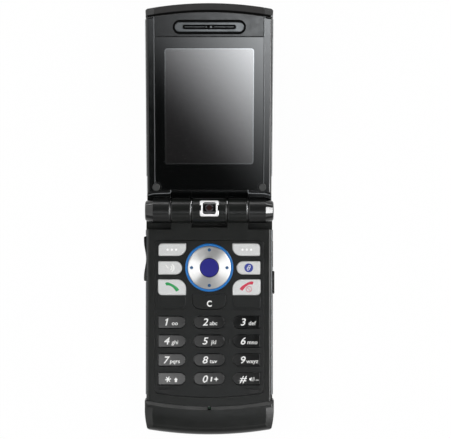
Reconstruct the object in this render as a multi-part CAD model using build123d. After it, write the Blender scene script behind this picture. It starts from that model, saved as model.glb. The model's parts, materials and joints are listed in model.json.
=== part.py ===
from build123d import *
import os
from math import radians, sin, sqrt

# Slim clamshell phone lying open on its back. Millimetres, +Z up out of the keypad,
# +Y towards the lid's tip, +X to the right. Pieces are drawn with y = 0 at the hinge
# axis and z = 0 on the back, and are saved with the middle of the flat back as origin.
# The lid is drawn flat about the hinge axis, then tilted up to its open stop.

os.makedirs("parts", exist_ok=True)

# ---------------------------------------------------------------- driving dimensions
HALF_WIDTH = 24.5            # half width over the side trims
CHIN_HALF = 24.75            # the chin is a little wider than the body
BACK_HALF = 24.3             # rear housing
FACE_HALF = 23.7             # front housing
FACE_Z = 11.0                # keypad face above the back
PART_Z = 6.0                 # joint between front and rear housing
WALL = 1.2
ARCH_R = 132.0               # plan radius of both ends

BACK_CENTRE_Y = -43.0        # middle of the flat back: the saved pieces' origin
AXIS_Z = 11.4                # hinge axis
BARREL_R = 4.67
OPEN_TILT = 12.0             # lid above the flat position at its open stop
KNUCKLE_IN = 6.95            # base knuckles run from here ...
KNUCKLE_MID = 14.7           # ... to here, the lid's knuckles from here out
KNUCKLE_GAP = 0.15
KNUCKLE_BEVEL = (0.5, 0.3)   # bevel of every barrel end: along the axis, inwards
KNUCKLE_TIP_R = 3.8          # the lid's knuckles taper to this radius at their outer ends
PIN_R = 1.5
PIN_PLAY = 0.05
CAMERA_HALF = 6.74
CAMERA_TURN = -14.5          # the camera looks a little towards the lid at rest

FACE_END_Y = -7.1            # hinge end of the keypad face
NOTCH_Y = -6.36              # keypad face's end behind the camera
CHIN_FOOT_Y = -75.0          # foot of the chin's wall at mid width
CHIN_WALL_RUN = 1.2          # how far the wall leans back
CHIN_TOP_Z = 12.1
CHIN_BROW_Y = -82.4          # where the chin's flat top starts to round off
CHIN_END_Y = -86.1
MIC_HOLE_R = 0.72
MIC_HOLE_Y = -75.65
FACET_RUN = 3.0              # width of the sloped facets at both ends of barrel and chin
FLANK_Y = -75.2              # where the chin's facets start
FLANK_SLOPE = 24.0
FLANK_CROWN_R = 24.0

LID_IN = -0.4                # lid faces, measured from the hinge axis with the lid flat
LID_OUT = -8.0
LID_MID = -4.4
LID_HALF = 24.0
LID_ROOT_Y = 7.0
LID_TIP_Y = 78.6
LID_EDGE_Y = 75.8            # tip of the lid's inner face
TIP_JOINT = (-0.2, 0.6)      # open joint before the end cap, from that edge
TIP_JOINT_Z = -3.0

GLASS_HALF = 20.5            # display panel and keypad panel are about this wide
GLASS_TOP_Y = 66.4
GLASS_T = 0.9
GLASS_SUNK = 0.2             # the display panel lies this far below the rails

PANEL_HALF = 21.0
PANEL_TOP_Y = -11.3
PANEL_END_Y = -71.5
PANEL_Z = 10.2               # underside of the keypad panel
KEY_TOP_Z = 11.35
KEY_GAP = 0.14
KEY_ROW_PITCH = 7.2
KEY_ROW_H = 4.75
FIRST_ROW_Y = -40.3          # upper edge of the first number row
KEY_OUT_X = 19.5
KEY_IN_X = 9.1
KEY_MID_X = 6.0
FLANGE = 0.35                # keeps a key under the panel
PAD_RISE = 0.3               # blank pads stand this proud of the keypad face

NAV_Y = -21.75
NAV_DISC_R = 8.2
NAV_HALO_R = 9.23
NAV_KEY_R = 3.52
NAV_POST_Y = 6.6

BOARD_Z = 7.2
BOARD_T = 0.8
DOME_Z = 8.1
COVER_T = 1.2
COVER_HALF = 21.2
COVER_TOP_Y = -14.0
SHELF_Z = 4.8                # underside of the shelf below the hinge
SCREW_XY = (20.5, -10.2)

TRIM_SPAN = (-70.6, -7.3)    # side strips, side controls and their windows, along Y
ROCKER_SPAN = (-27.1, -9.7)
ROCKER_WINDOW = (-27.4, -9.4)
SIDE_KEY_SPAN = (-31.9, -23.1)
SIDE_KEY_WINDOW = (-32.1, -22.9)
FLAP_SPAN = (-21.8, -11.5)
FLAP_WINDOW = (-21.95, -11.35)


# ---------------------------------------------------------------- small helpers
def box(x0, x1, y0, y1, z0, z1):
    """Box between two corners."""
    centre = Pos((x0 + x1) / 2, (y0 + y1) / 2, (z0 + z1) / 2)
    return centre * Box(x1 - x0, y1 - y0, z1 - z0)


def prism(face, z0, z1):
    """Plan outline carried from z0 up to z1."""
    return extrude(Pos(0, 0, z0) * face, z1 - z0, dir=(0, 0, 1))


def across(profile, x0, x1):
    """Side profile, drawn as (y, z), carried from x0 to x1."""
    return extrude(Plane.YZ.offset(x0) * profile, x1 - x0, dir=(1, 0, 0))


def along(section, y0, y1):
    """Cross-section, drawn as (x, z), carried from y0 to y1."""
    return extrude(Plane.XZ.offset(-y0) * section, y1 - y0, dir=(0, 1, 0))


def rod_x(radius, x0, x1, y=0.0, z=0.0):
    """Round bar along X."""
    return Pos((x0 + x1) / 2, y, z) * Rot(0, 90, 0) * Cylinder(radius, x1 - x0)


def rod_z(radius, x, y, z0, z1):
    """Round bar along Z."""
    return Pos(x, y, (z0 + z1) / 2) * Cylinder(radius, z1 - z0)


def both(solid):
    """The solid and its mirror image across the middle plane."""
    return solid + mirror(solid, about=Plane.YZ)


def polygon(*points):
    """Closed straight-sided face."""
    return make_face(Polyline(*points, close=True))


def rounded(x0, x1, y0, y1, radii):
    """Rectangle with its own radius at each corner, from lower left anticlockwise."""
    corners = [(x0, y0), (x1, y0), (x1, y1), (x0, y1)]
    return make_face(FilletPolyline(*corners, radius=radii, close=True))


def stadium(x0, x1, y0, y1):
    """Slot-shaped face with round ends."""
    return Pos((x0 + x1) / 2, (y0 + y1) / 2) * SlotOverall(x1 - x0, y1 - y0)


def arch_drop(x):
    """How far an arched end falls back at a distance x from the middle."""
    return ARCH_R - sqrt(ARCH_R ** 2 - x ** 2)


def arched(half, y_root, y_tip):
    """Plan of a strip whose end at y_tip follows the arch."""
    side = y_tip - arch_drop(half) * (1 if y_tip > y_root else -1)
    edge = Polyline((-half, side), (-half, y_root), (half, y_root), (half, side))
    arc = ThreePointArc((half, side), (0, y_tip), (-half, side))
    return make_face([*edge.edges(), *arc.edges()])


def spun(profile, y_centre, angle=26.0):
    """Side profile, drawn as (y, z), swung about the arch's upright axis."""
    start = Plane.YZ * profile
    axis = Axis((0, y_centre, 0), (0, 0, 1))
    return revolve(start.rotate(axis, -angle / 2), axis, angle)


def save(name, shape):
    """Write one sub-part."""
    placed = Pos(0, -BACK_CENTRE_Y, 0) * shape
    placed.label = name
    export_step(placed, f"parts/{name}.step")


# ---------------------------------------------------------------- base: outer forms
def rear_curve():
    """Hinge-end profile of the base: from the back face up to behind the barrel."""
    foot = (-2.0, 0)
    deck = (2.7, PART_Z)
    heel = (3.3, AXIS_Z - BARREL_R * sin(radians(45)))
    lower = ThreePointArc(foot, (1.2, 2.4), deck)
    upper = Line(deck, heel)
    return lower, upper, foot, heel


def rear_profile():
    """Side profile of the rear housing, hinge end rounded up from the back."""
    lower, _, foot, _ = rear_curve()
    far = CHIN_FOOT_Y - 1
    edge = Polyline(lower @ 1, (far, PART_Z), (far, 0), foot)
    return make_face([*lower.edges(), *edge.edges()])


def neck_profile():
    """Side profile of the neck that carries a base knuckle."""
    _, upper, _, heel = rear_curve()
    edge = Polyline(heel, (heel[0], AXIS_Z), (0, AXIS_Z), (-4.5, FACE_Z),
                    (FACE_END_Y - 1, FACE_Z), (FACE_END_Y - 1, PART_Z), upper @ 0)
    return make_face([*upper.edges(), *edge.edges()])


def rear_section(half, inset=0.0):
    """Cross-section of the back shell with its large soft edges."""
    bend = 3.0 - inset
    floor = inset
    side = half - inset
    right = Polyline((0, floor), (side - bend, floor))
    curve = ThreePointArc((side - bend, floor),
                          (side - bend * 0.293, floor + bend * 0.293), (side, floor + bend))
    top = Polyline((side, floor + bend), (side, PART_Z), (0, PART_Z), (0, floor))
    face = make_face([*right.edges(), *curve.edges(), *top.edges()])
    return face + mirror(face, about=Plane.YZ)


def front_section():
    """Cross-section of the front shell: upright sides, softly rounded top edges."""
    bend = 0.9
    right = Polyline((0, PART_Z), (FACE_HALF, PART_Z), (FACE_HALF, FACE_Z - bend))
    curve = ThreePointArc((FACE_HALF, FACE_Z - bend),
                          (FACE_HALF - bend * 0.293, FACE_Z - bend * 0.293),
                          (FACE_HALF - bend, FACE_Z))
    top = Polyline((FACE_HALF - bend, FACE_Z), (0, FACE_Z), (0, PART_Z))
    face = make_face([*right.edges(), *curve.edges(), *top.edges()])
    return face + mirror(face, about=Plane.YZ)


def chin_profile(inset=0.0):
    """Side profile of the chin: sloped wall, nearly flat top, rounded end."""
    foot = (CHIN_FOOT_Y, FACE_Z - inset)
    crest = (CHIN_FOOT_Y - CHIN_WALL_RUN, CHIN_TOP_Z - inset)
    brow = (CHIN_BROW_Y, CHIN_TOP_Z - 0.75 - inset)
    nose = (CHIN_END_Y + inset, 6.8)
    toe = (CHIN_END_Y + 2.4 + inset / 2, inset)
    top = ThreePointArc(crest, ((crest[0] + brow[0]) / 2, CHIN_TOP_Z - 0.25 - inset), brow)
    bend = ThreePointArc(brow, (CHIN_END_Y + 1.0 + inset * 0.7, 9.95 - inset * 0.7), nose)
    end = ThreePointArc(nose, (CHIN_END_Y + 0.6 + inset, 2.4), toe)
    rest = Polyline(toe, (CHIN_FOOT_Y, inset), foot, crest)
    return make_face([*top.edges(), *bend.edges(), *end.edges(), *rest.edges()])


# ---------------------------------------------------------------- keys
def number_key_outline(column, row):
    """Left keys are round on the right, middle keys are stadiums, right keys mirror the left."""
    top = FIRST_ROW_Y - KEY_ROW_PITCH * row
    low = top - KEY_ROW_H
    soft, round_end = 0.35, KEY_ROW_H / 2 - 0.01
    if column == 0:
        return rounded(-KEY_OUT_X, -KEY_IN_X, low, top, [soft, round_end, round_end, soft])
    if column == 1:
        return stadium(-KEY_MID_X, KEY_MID_X, low, top)
    return rounded(KEY_IN_X, KEY_OUT_X, low, top, [round_end, soft, soft, round_end])


def soft_key_outline():
    """Left soft key, cut away towards the navigation ring."""
    return rounded(-19.4, -8.9, -17.2, -12.5, [0.4, 3.3, 0.3, 1.5])


def menu_key_outline():
    """Left middle function key, half round towards the ring."""
    return rounded(-19.5, -10.5, -24.35, -19.35, [0.4, 2.45, 2.45, 0.4])


def call_key_outline():
    """Left lower function key, cut away towards the ring."""
    return rounded(-19.6, -8.95, -32.25, -26.3, [1.5, 0.3, 3.6, 0.4])


def clear_key_outline():
    """Shallow bowl that fits under the ring."""
    bowl = rounded(-6.5, 6.5, -37.7, -32.0, [3.2, 3.2, 0.3, 0.3])
    return bowl - Pos(0, NAV_Y) * Circle(NAV_HALO_R + 1.35)


def key_outlines():
    """Plan outline of every sliding key, by name."""
    outlines = {
        "soft_key_left": soft_key_outline(),
        "menu_key": menu_key_outline(),
        "call_key": call_key_outline(),
        "clear_key": clear_key_outline(),
    }
    twins = {"soft_key_right": "soft_key_left", "browser_key": "menu_key", "end_key": "call_key"}
    for name, twin in twins.items():
        outlines[name] = mirror(outlines[twin], about=Plane.YZ)
    labels = ["1", "2", "3", "4", "5", "6", "7", "8", "9", "star", "0", "hash"]
    for index, label in enumerate(labels):
        outlines[f"key_{label}"] = number_key_outline(index % 3, index // 3)
    return outlines


def key(outline):
    """Key cap with a soft upper edge, its retaining flange and its plunger."""
    cap = prism(outline, PANEL_Z - 0.5, KEY_TOP_Z)
    rim = cap.faces().sort_by(Axis.Z)[-1].edges()
    cap = chamfer(rim, 0.22)
    flange = prism(offset(outline, FLANGE, kind=Kind.INTERSECTION), PANEL_Z - 0.85, PANEL_Z - 0.15)
    middle = outline.center(CenterOf.BOUNDING_BOX)
    plunger = rod_z(1.1, middle.X, middle.Y, DOME_Z + 0.6, PANEL_Z - 0.8)
    return cap + flange + plunger


def nav_halo():
    """Light-guide ring that stands round the navigation disc."""
    ring = rod_z(NAV_HALO_R, 0, NAV_Y, PANEL_Z - 0.3, FACE_Z + 0.35)
    ring = chamfer(ring.faces().sort_by(Axis.Z)[-1].edges(), 0.25)
    ring += rod_z(NAV_HALO_R + 0.5, 0, NAV_Y, PANEL_Z - 0.3, PANEL_Z - 0.02)
    return ring - rod_z(NAV_DISC_R + 0.13, 0, NAV_Y, 0, 20)


def nav_disc():
    """Flat four-way disc with bevelled rims and its two plungers, up and down."""
    low, top, hole = 10.75, 11.4, NAV_KEY_R + 0.22
    section = polygon((hole, low), (NAV_DISC_R, low), (NAV_DISC_R, top - 0.15), (NAV_DISC_R - 0.3, top),
                      (hole + 0.15, top), (hole, top - 0.1))
    disc = revolve(Plane.XZ * section, Axis.Z, 360)
    posts = rod_z(1.0, 0, NAV_POST_Y, DOME_Z + 0.6, low + 0.1)
    posts += rod_z(1.0, 0, -NAV_POST_Y, DOME_Z + 0.6, low + 0.1)
    return Pos(0, NAV_Y, 0) * (disc + posts)


def nav_actuator():
    """Rubber rocker under the disc: two plungers, left and right, and two pairs of rockers."""
    web = rod_z(7.9, 0, 0, 9.5, 10.1)
    ridge = both(box(4.2, 7.0, -0.4, 0.4, 10.0, 10.7))
    posts = both(rod_z(1.0, NAV_POST_Y, 0, DOME_Z + 0.6, 9.6))
    feet = box(-0.4, 0.4, 2.6, 4.2, DOME_Z + 0.05, 9.6) + box(-0.4, 0.4, -4.2, -2.6, DOME_Z + 0.05, 9.6)
    body = web + ridge + posts + feet - rod_z(2.4, 0, 0, 9, 11)
    for y in (-NAV_POST_Y, NAV_POST_Y):
        body -= rod_z(1.45, 0, y, 9, 11)
    return Pos(0, NAV_Y, 0) * body


def centre_key():
    """Round select key in the middle of the disc."""
    cap = rod_z(NAV_KEY_R, 0, 0, 10.9, 11.6)
    cap = chamfer(cap.faces().sort_by(Axis.Z)[-1].edges(), 0.2)
    return Pos(0, NAV_Y, 0) * (cap + rod_z(1.6, 0, 0, DOME_Z + 0.6, 11.0))


# ---------------------------------------------------------------- base: face parts
def panel_outline(grow=0.0):
    """Keypad panel: straight top and sides, bottom edge on the arch, soft corners."""
    low = PANEL_END_Y - grow
    plan = arched(PANEL_HALF + grow, PANEL_TOP_Y + grow, low)
    return fillet(plan.vertices(), 1.6)


def keypad_panel(outlines):
    """Thin cover plate with a window for each key, blank pads beside C and two locating nubs."""
    plate = prism(panel_outline(-0.06), PANEL_Z + 0.02, FACE_Z)
    plate = chamfer(plate.faces().sort_by(Axis.Z)[-1].edges(), 0.12)
    plate -= zone_groove()
    pad = prism(rounded(-19.6, -9.05, -37.2, -32.9, [1.0, 2.2, 0.4, 0.4]), FACE_Z - 0.1, FACE_Z + PAD_RISE)
    pads = both(chamfer(pad.faces().sort_by(Axis.Z)[-1].edges(), 0.15))
    nubs = both(prism(stadium(-8.3, -6.7, -50.4, -49.8).rotate(Axis((-7.5, -50.1, 0), (0, 0, 1)), 90),
                      FACE_Z - 0.1, FACE_Z + 0.25))
    plate += pads + nubs
    for outline in outlines.values():
        plate -= prism(offset(outline, KEY_GAP, kind=Kind.INTERSECTION), 9, 13)
    return plate - rod_z(NAV_HALO_R + 0.05, 0, NAV_Y, 9, 13)


def zone_groove():
    """Fine groove round the shoulders of the number keys' field."""
    outer = rounded(-20.7, 20.7, -60, -37.75, [0.1, 0.1, 1.7, 1.7])
    inner = rounded(-20.54, 20.54, -60, -37.91, [0.1, 0.1, 1.54, 1.54])
    shoulders = box(-30, -8.8, -40.5, -30, 0, 20) + box(8.8, 30, -40.5, -30, 0, 20)
    return prism(outer - inner, FACE_Z - 0.14, FACE_Z + 0.1) & shoulders


def keypad_stops():
    """Two lens-shaped rubber stops that the lid closes on."""
    edge = ThreePointArc((14.4, -68.0), (17.0, -68.35), (19.2, -68.3))
    back = ThreePointArc((19.2, -68.3), (17.0, -69.9), (14.4, -68.0))
    lens = make_face([*edge.edges(), *back.edges()])
    return both(prism(lens, FACE_Z + 0.01, FACE_Z + 0.7))


def base_front_housing():
    """Face shell with the two base knuckles, the panel's seat and the keys' opening."""
    shell = along(front_section(), CHIN_FOOT_Y - 1, FACE_END_Y)
    shell &= prism(arched(FACE_HALF, 0, CHIN_FOOT_Y + 0.05), PART_Z, FACE_Z)
    cavity = arched(FACE_HALF - WALL, FACE_END_Y - WALL, CHIN_FOOT_Y - 3)
    shell -= prism(cavity, PART_Z - 1, FACE_Z - WALL)
    shell += box(-KNUCKLE_IN, KNUCKLE_IN, FACE_END_Y - 0.5, NOTCH_Y, PART_Z, FACE_Z)
    shell += both(base_knuckle())
    shell -= prism(panel_outline(), PANEL_Z, FACE_Z + 1)
    opening = rounded(-20.1, 20.1, -68.2, -12.0, [1.0, 1.0, 1.0, 1.0])
    shell -= prism(opening, PART_Z, FACE_Z)
    bosses = both(rod_z(1.9, *SCREW_XY, PART_Z + 0.4, FACE_Z - 0.8)
                  + rod_z(1.9, 20.7, -70.0, PART_Z + 0.4, FACE_Z - 0.8))
    holes = both(rod_z(0.62, *SCREW_XY, 0, 9.6))
    return shell + bosses - holes


def base_knuckle():
    """Right knuckle: bevelled barrel on its neck."""
    barrel = Pos(0, 0, AXIS_Z) * barrel_piece(KNUCKLE_IN, KNUCKLE_MID)
    neck = across(neck_profile(), KNUCKLE_IN + KNUCKLE_BEVEL[0], KNUCKLE_MID - KNUCKLE_BEVEL[0])
    root = box(KNUCKLE_IN, KNUCKLE_MID, FACE_END_Y - 0.5, -BARREL_R + 0.2, PART_Z, FACE_Z)
    return barrel + neck + root


def barrel_piece(x0, x1):
    """Length of the hinge barrel with a bevel at each end."""
    run, drop = KNUCKLE_BEVEL
    half = polygon((x0, 0), (x0, BARREL_R - drop), (x0 + run, BARREL_R), (x1 - run, BARREL_R),
                   (x1, BARREL_R - drop), (x1, 0))
    return revolve(Plane.XZ * half, Axis.X, 360)


def hinge_bores():
    """Holes through the base knuckles: hinge module on the left, plain pin on the right."""
    module = rod_x(3.02, -KNUCKLE_MID - 1, -8.15, 0, AXIS_Z)
    pin = rod_x(PIN_R + PIN_PLAY, 8.3, KNUCKLE_MID + 1, 0, AXIS_Z)
    journals = rod_x(1.65, -8.2, 8.3, 0, AXIS_Z)
    return module + pin + journals


def base_rear_housing():
    """Back shell: battery bay and card bay open below, electronics tray open above."""
    shell = along(rear_section(BACK_HALF), -90, 10) & across(rear_profile(), -30, 30)
    shell &= prism(arched(BACK_HALF, 10, CHIN_FOOT_Y + 0.05), 0, PART_Z)
    tray = along(rear_section(BACK_HALF, WALL), -90, -1.4)
    tray &= prism(arched(BACK_HALF - WALL, -1.4, CHIN_FOOT_Y - 3), 0, PART_Z + 1)
    bay_walls = box(-19.9, 19.9, -80, -16.0, 0, PART_Z - 0.1)
    floor = box(-30, 30, -80, COVER_TOP_Y + 1.2, 0, 2.3)
    shelf = box(-30, 30, FACE_END_Y - WALL, 3, SHELF_Z, PART_Z + 1)
    notch_walls = box(-6.8, 6.8, -4.8, 3, 0, PART_Z)
    shell -= tray - bay_walls - floor - shelf - notch_walls
    shell -= box(-BACK_HALF, -19.9, -80, -74.2, COVER_T, 8) + box(19.9, BACK_HALF, -80, -74.2, COVER_T, 8)
    shell -= cover_pocket()
    shell -= box(-18.9, 18.9, -56.1, -17.0, -1, 5.1)
    shell -= box(-13.6, 13.6, -73.3, -57.4, -1, 5.1)
    shell -= camera_view()
    for k in range(5):
        shell -= box(8.5, 15.5, -5.4 - 1.3 * k, -4.8 - 1.3 * k, -1, 2)
    posts = both(rod_z(1.6, *SCREW_XY, 1.0, PART_Z + 0.35))
    holes = both(rod_z(0.75, *SCREW_XY, -1, 8) + rod_z(1.35, *SCREW_XY, -1, 0.8))
    return shell + posts - holes


def cover_pocket():
    """Recess of the battery cover, with the grooves that its tongues run in."""
    plate = box(-COVER_HALF - 0.1, COVER_HALF + 0.1, -95, COVER_TOP_Y + 0.1, -1, COVER_T + 0.05)
    return plate + box(-COVER_HALF - 0.6, COVER_HALF + 0.6, -95, -18.0, 0.62, COVER_T + 0.05)


def camera_view():
    """Notch below the camera barrel, for the camera to look out backwards."""
    return box(-5.6, 5.6, -3.6, 6, -1, PART_Z + 1)


def chin_cover():
    """End cap over the antenna: arched wall, crowned face, hollow inside."""
    centre = CHIN_FOOT_Y + ARCH_R
    body = spun(chin_profile(), centre) & along(chin_section(CHIN_HALF), -95, -60)
    hollow = spun(chin_profile(WALL), centre) + prism(arched(22.6, -60, -79), WALL, 9.7)
    body -= hollow & along(chin_section(CHIN_HALF, WALL), -95, -60)
    body &= prism(chin_plan(), -1, 20)
    body -= cover_pocket() + both(chin_flank())
    return body - rod_z(MIC_HOLE_R, 0, MIC_HOLE_Y, 5, 20)


def chin_plan():
    """Plan that draws the chin's sides in a little and rounds its corners."""
    side = ThreePointArc((CHIN_HALF, -74.0), (CHIN_HALF - 0.25, -80.0), (CHIN_HALF - 0.8, -83.2))
    corner = ThreePointArc(side @ 1, (CHIN_HALF - 1.3, -83.95), (CHIN_HALF - 2.35, -84.45))
    rest = Polyline(corner @ 1, (0, CHIN_END_Y - 1.1), (0, -60), (CHIN_HALF, -60), side @ 0)
    half = make_face([*side.edges(), *corner.edges(), *rest.edges()])
    return half + mirror(half, about=Plane.YZ)


def chin_flank():
    """Cutter for the sloped, lengthwise crowned facet on the chin's right shoulder."""
    crown = Pos(0, 0, -FLANK_CROWN_R) * Rot(0, 90, 0) * Cylinder(FLANK_CROWN_R, 20)
    corner = box(0, 8, -12, 0, -4.5, 4) - crown
    return Pos(HALF_WIDTH - FACET_RUN, FLANK_Y, CHIN_TOP_Z) * Rot(0, FLANK_SLOPE, 0) * corner


def chin_section(half, inset=0.0):
    """Cross-section of the chin: large soft edges below, small ones above."""
    side, floor, roof = half - inset, inset, CHIN_TOP_Z - inset
    low, high = 3.0 - inset, 1.4 - inset / 2
    right = Polyline((0, floor), (side - low, floor))
    curve = ThreePointArc((side - low, floor), (side - low * 0.293, floor + low * 0.293),
                          (side, floor + low))
    wall = Polyline((side, floor + low), (side, roof - high))
    bend = ThreePointArc((side, roof - high), (side - high * 0.293, roof - high * 0.293),
                         (side - high, roof))
    rest = Polyline((side - high, roof), (0, roof), (0, floor))
    face = make_face([*right.edges(), *curve.edges(), *wall.edges(), *bend.edges(), *rest.edges()])
    return face + mirror(face, about=Plane.YZ)


def base_side_trims():
    """Bright strips let into both sides, with windows for the side controls."""
    strip = polygon((FACE_HALF + 0.02, 4.4), (FACE_HALF + 0.02, 8.4), (HALF_WIDTH - 0.35, 8.3),
                    (HALF_WIDTH, 7.4), (HALF_WIDTH, 5.4), (HALF_WIDTH - 0.2, 4.4))
    right = along(strip, *TRIM_SPAN)
    left = mirror(right, about=Plane.YZ)
    left -= box(-26, -20, *ROCKER_WINDOW, 5.0, 7.9)
    right -= box(20, 26, *FLAP_WINDOW, 4.9, 8.05)
    right -= box(20, 26, *SIDE_KEY_WINDOW, 5.0, 7.9)
    return left + right


def side_windows():
    """Openings through the side walls and the trims for rocker, side key and connector."""
    left = box(-26, -22.2, *ROCKER_WINDOW, 5.0, 7.9)
    key_window = box(22.2, 26, *SIDE_KEY_WINDOW, 5.0, 7.9)
    socket = box(18.5, 26, -20.6, -12.7, 4.9, 8.0)
    recess = box(22.8, 26, *FLAP_WINDOW, 4.9, 8.05)
    return left + key_window + socket + recess


def volume_rocker():
    """Wavy rocker: both ends stand proud, the middle lies flush with the trim."""
    low, top = ROCKER_SPAN
    mid = (low + top) / 2
    outer = Spline((-25.15, low + 0.3), (-25.05, low + 3.5), (-24.35, mid), (-25.05, top - 3.5),
                   (-25.15, top - 0.3))
    inner = Polyline(outer @ 1, (-24.4, top), (-22.9, top), (-22.9, low), (-24.4, low), outer @ 0)
    plan = make_face([*outer.edges(), *inner.edges()])
    body = prism(plan, 5.2, 7.7)
    return body + box(-23.0, -22.3, mid - 0.8, mid + 0.8, 5.6, 7.3)


def side_key():
    """Camera key on the right side."""
    low, top = SIDE_KEY_SPAN
    cap = box(22.9, 25.1, low, top, 5.2, 7.7)
    return chamfer(cap.faces().sort_by(Axis.X)[-1].edges(), 0.3)


def connector_flap():
    """Rubber cover of the side connector, hinged on its keypad edge by a thin strap."""
    low, top = FLAP_SPAN
    skin = box(23.4, 24.55, low, top, 5.05, 7.75)
    skin = chamfer(skin.edges().filter_by(Axis.Y).sort_by(Axis.X)[-2:], 0.3)
    lip = box(22.9, 23.5, low + 1.6, top - 1.6, 5.5, 7.2)
    return skin + lip


def charging_socket():
    """Flat multi-pole receptacle behind the flap, open to the side."""
    shell = box(18.7, 22.0, -20.4, -12.9, 5.1, 7.8)
    throat = box(19.6, 22.5, -19.9, -13.4, 5.6, 7.3)
    tongue = box(19.5, 21.6, -18.9, -14.4, 6.2, 6.7)
    return shell - throat + tongue


# ---------------------------------------------------------------- base: inside
def main_board():
    """Circuit board with its shield cans, battery contacts and microphone."""
    plan = rounded(-21.6, 21.6, -76.2, -12.2, [2.0, 2.0, 0.5, 0.5])
    board = prism(plan, BOARD_Z, BOARD_Z + BOARD_T)
    board -= both(rod_z(2.3, 20.7, -70.0, 0, 20))
    board -= box(18.5, 30, -20.7, -12.6, 0, 20)
    cans = box(-17, 17, -40, -24, PART_Z + 0.1, BOARD_Z) + box(-17, 5, -66, -44, PART_Z + 0.1, BOARD_Z)
    mic = rod_z(2.0, 0, -74.0, BOARD_Z, 9.4)
    return board + cans + mic


def dome_centres(outlines):
    """Middle of every key and of the disc's four directions."""
    spots = [outline.center(CenterOf.BOUNDING_BOX) for outline in outlines.values()]
    places = [(spot.X, spot.Y) for spot in spots]
    ring = [(0, NAV_POST_Y), (0, -NAV_POST_Y), (NAV_POST_Y, 0), (-NAV_POST_Y, 0), (0, 0)]
    return places + [(x, NAV_Y + y) for x, y in ring]


def dome_sheet(outlines):
    """Adhesive sheet with one snap dome under each key."""
    sheet = prism(rounded(-20.0, 20.0, -67.5, -12.4, [1, 1, 1, 1]), BOARD_Z + BOARD_T + 0.01, DOME_Z)
    sheet -= box(18.4, 30, -20.8, -12.5, 0, 20)
    for x, y in dome_centres(outlines):
        sheet += Pos(x, y, DOME_Z + 0.06) * Cone(1.7, 0.8, 0.2)
    return sheet


def battery():
    """Lithium pack with soft edges."""
    pack = box(-18.6, 18.6, -55.8, -17.3, 1.35, 5.0)
    return fillet(pack.edges().filter_by(Axis.Y), 0.8)


def battery_cover():
    """Sliding back cover: flat plate, arched end, side tongues and a thumb scoop."""
    plate = prism(arched(COVER_HALF, COVER_TOP_Y, CHIN_END_Y + 2.45), 0, COVER_T)
    plate = chamfer(plate.faces().sort_by(Axis.Z)[0].edges().sort_by(Axis.Y)[0], 0.5)
    tongues = [both(box(COVER_HALF - 0.5, COVER_HALF + 0.5, y - 2.5, y + 2.5, 0.67, COVER_T))
               for y in (-24.0, -44.0, -64.0)]
    for tongue in tongues:
        plate += tongue
    for k in range(4):
        plate -= box(-5, 5, -20.4 - 1.5 * k, -19.7 - 1.5 * k, -1, 0.35)
    return plate


def sim_holder():
    """Folded metal tray that clips the card over its contacts."""
    tray = box(-13.3, 13.3, -73.0, -57.7, 3.2, 5.0)
    slot = box(-12.6, 12.6, -74, -58.2, 3.7, 4.6)
    window = box(-8.5, 8.5, -70.5, -60.0, 3.0, 4.0)
    return tray - slot - window


def loudspeaker():
    """Round speaker with its raised magnet."""
    return rod_z(5.0, 12.0, -7.7, 1.3, 3.1) + rod_z(3.2, 12.0, -7.7, 3.0, SHELF_Z - 0.1)


def vibration_motor():
    """Small cylinder motor with its eccentric weight on the shaft."""
    axle = (-7.4, 3.05)
    can = rod_x(1.7, -17.5, -10.5, *axle)
    shaft = rod_x(0.35, -10.6, -7.4, *axle)
    weight = rod_x(1.6, -10.0, -7.8, *axle) - box(-11, -7, -12, -4, axle[1] + 0.3, 8)
    return can + shaft + weight


def antenna_element():
    """Plastic carrier in the chin with a raised meander of foil."""
    carrier = prism(arched(17.0, -79.4, -83.0), 2.6, 5.6)
    foil = both(box(2.0, 14.0, -81.4, -80.7, 5.5, 5.8))
    return carrier + foil + box(-2.1, 2.1, -80.8, -80.1, 5.5, 5.8)


def base_screws():
    """Two screws that hold the housings together below the hinge."""
    near = rod_z(0.6, *SCREW_XY, 0.5, 8.6) + rod_z(1.25, *SCREW_XY, 0.1, 0.75)
    return both(near)


# ---------------------------------------------------------------- hinge and camera
def hinge_module():
    """Click hinge cartridge in the left base knuckle, bored for the turning shaft."""
    body = rod_x(2.98, -KNUCKLE_MID + 0.1, -8.3, 0, AXIS_Z)
    return body - rod_x(PIN_R + PIN_PLAY, -16, -9.4, 0, AXIS_Z)


def hinge_pins():
    """Left turning shaft and right pin, both fixed in the lid's knuckles."""
    left = rod_x(PIN_R, -21.0, -9.6)
    right = rod_x(PIN_R, 9.6, 21.0)
    return left + right


def camera_barrel():
    """Turning barrel between the base knuckles, on two journals, with the camera's pocket."""
    barrel = barrel_piece(-CAMERA_HALF, CAMERA_HALF)
    barrel += rod_x(1.6, -8.0, 8.0)
    barrel -= frame_prism(3.62, 3.12, 2) - rod_x(3.93, -6, 6)
    return barrel - frame_prism(2.62, 2.52, -0.4)


def frame_prism(half_x, half_y, floor):
    """Rounded upright prism, open upwards, used for the camera's seat and rim."""
    return prism(rounded(-half_x, half_x, -half_y, half_y, [0.7] * 4), floor, 8)


def camera_bezel():
    """Bright rim curved to the barrel, with a small notch on each side."""
    skin = rod_x(BARREL_R + 0.14, -5, 5) - rod_x(3.95, -6, 6)
    rim = skin & frame_prism(3.6, 3.1, 3)
    rim -= frame_prism(2.5, 2.35, 3)
    return rim - both(box(3.15, 4.0, -1.1, 1.1, 3, 6))


def camera_window():
    """Dark window curved to the barrel."""
    return (rod_x(BARREL_R - 0.1, -5, 5) - rod_x(4.05, -6, 6)) & frame_prism(2.45, 2.3, 3)


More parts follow.
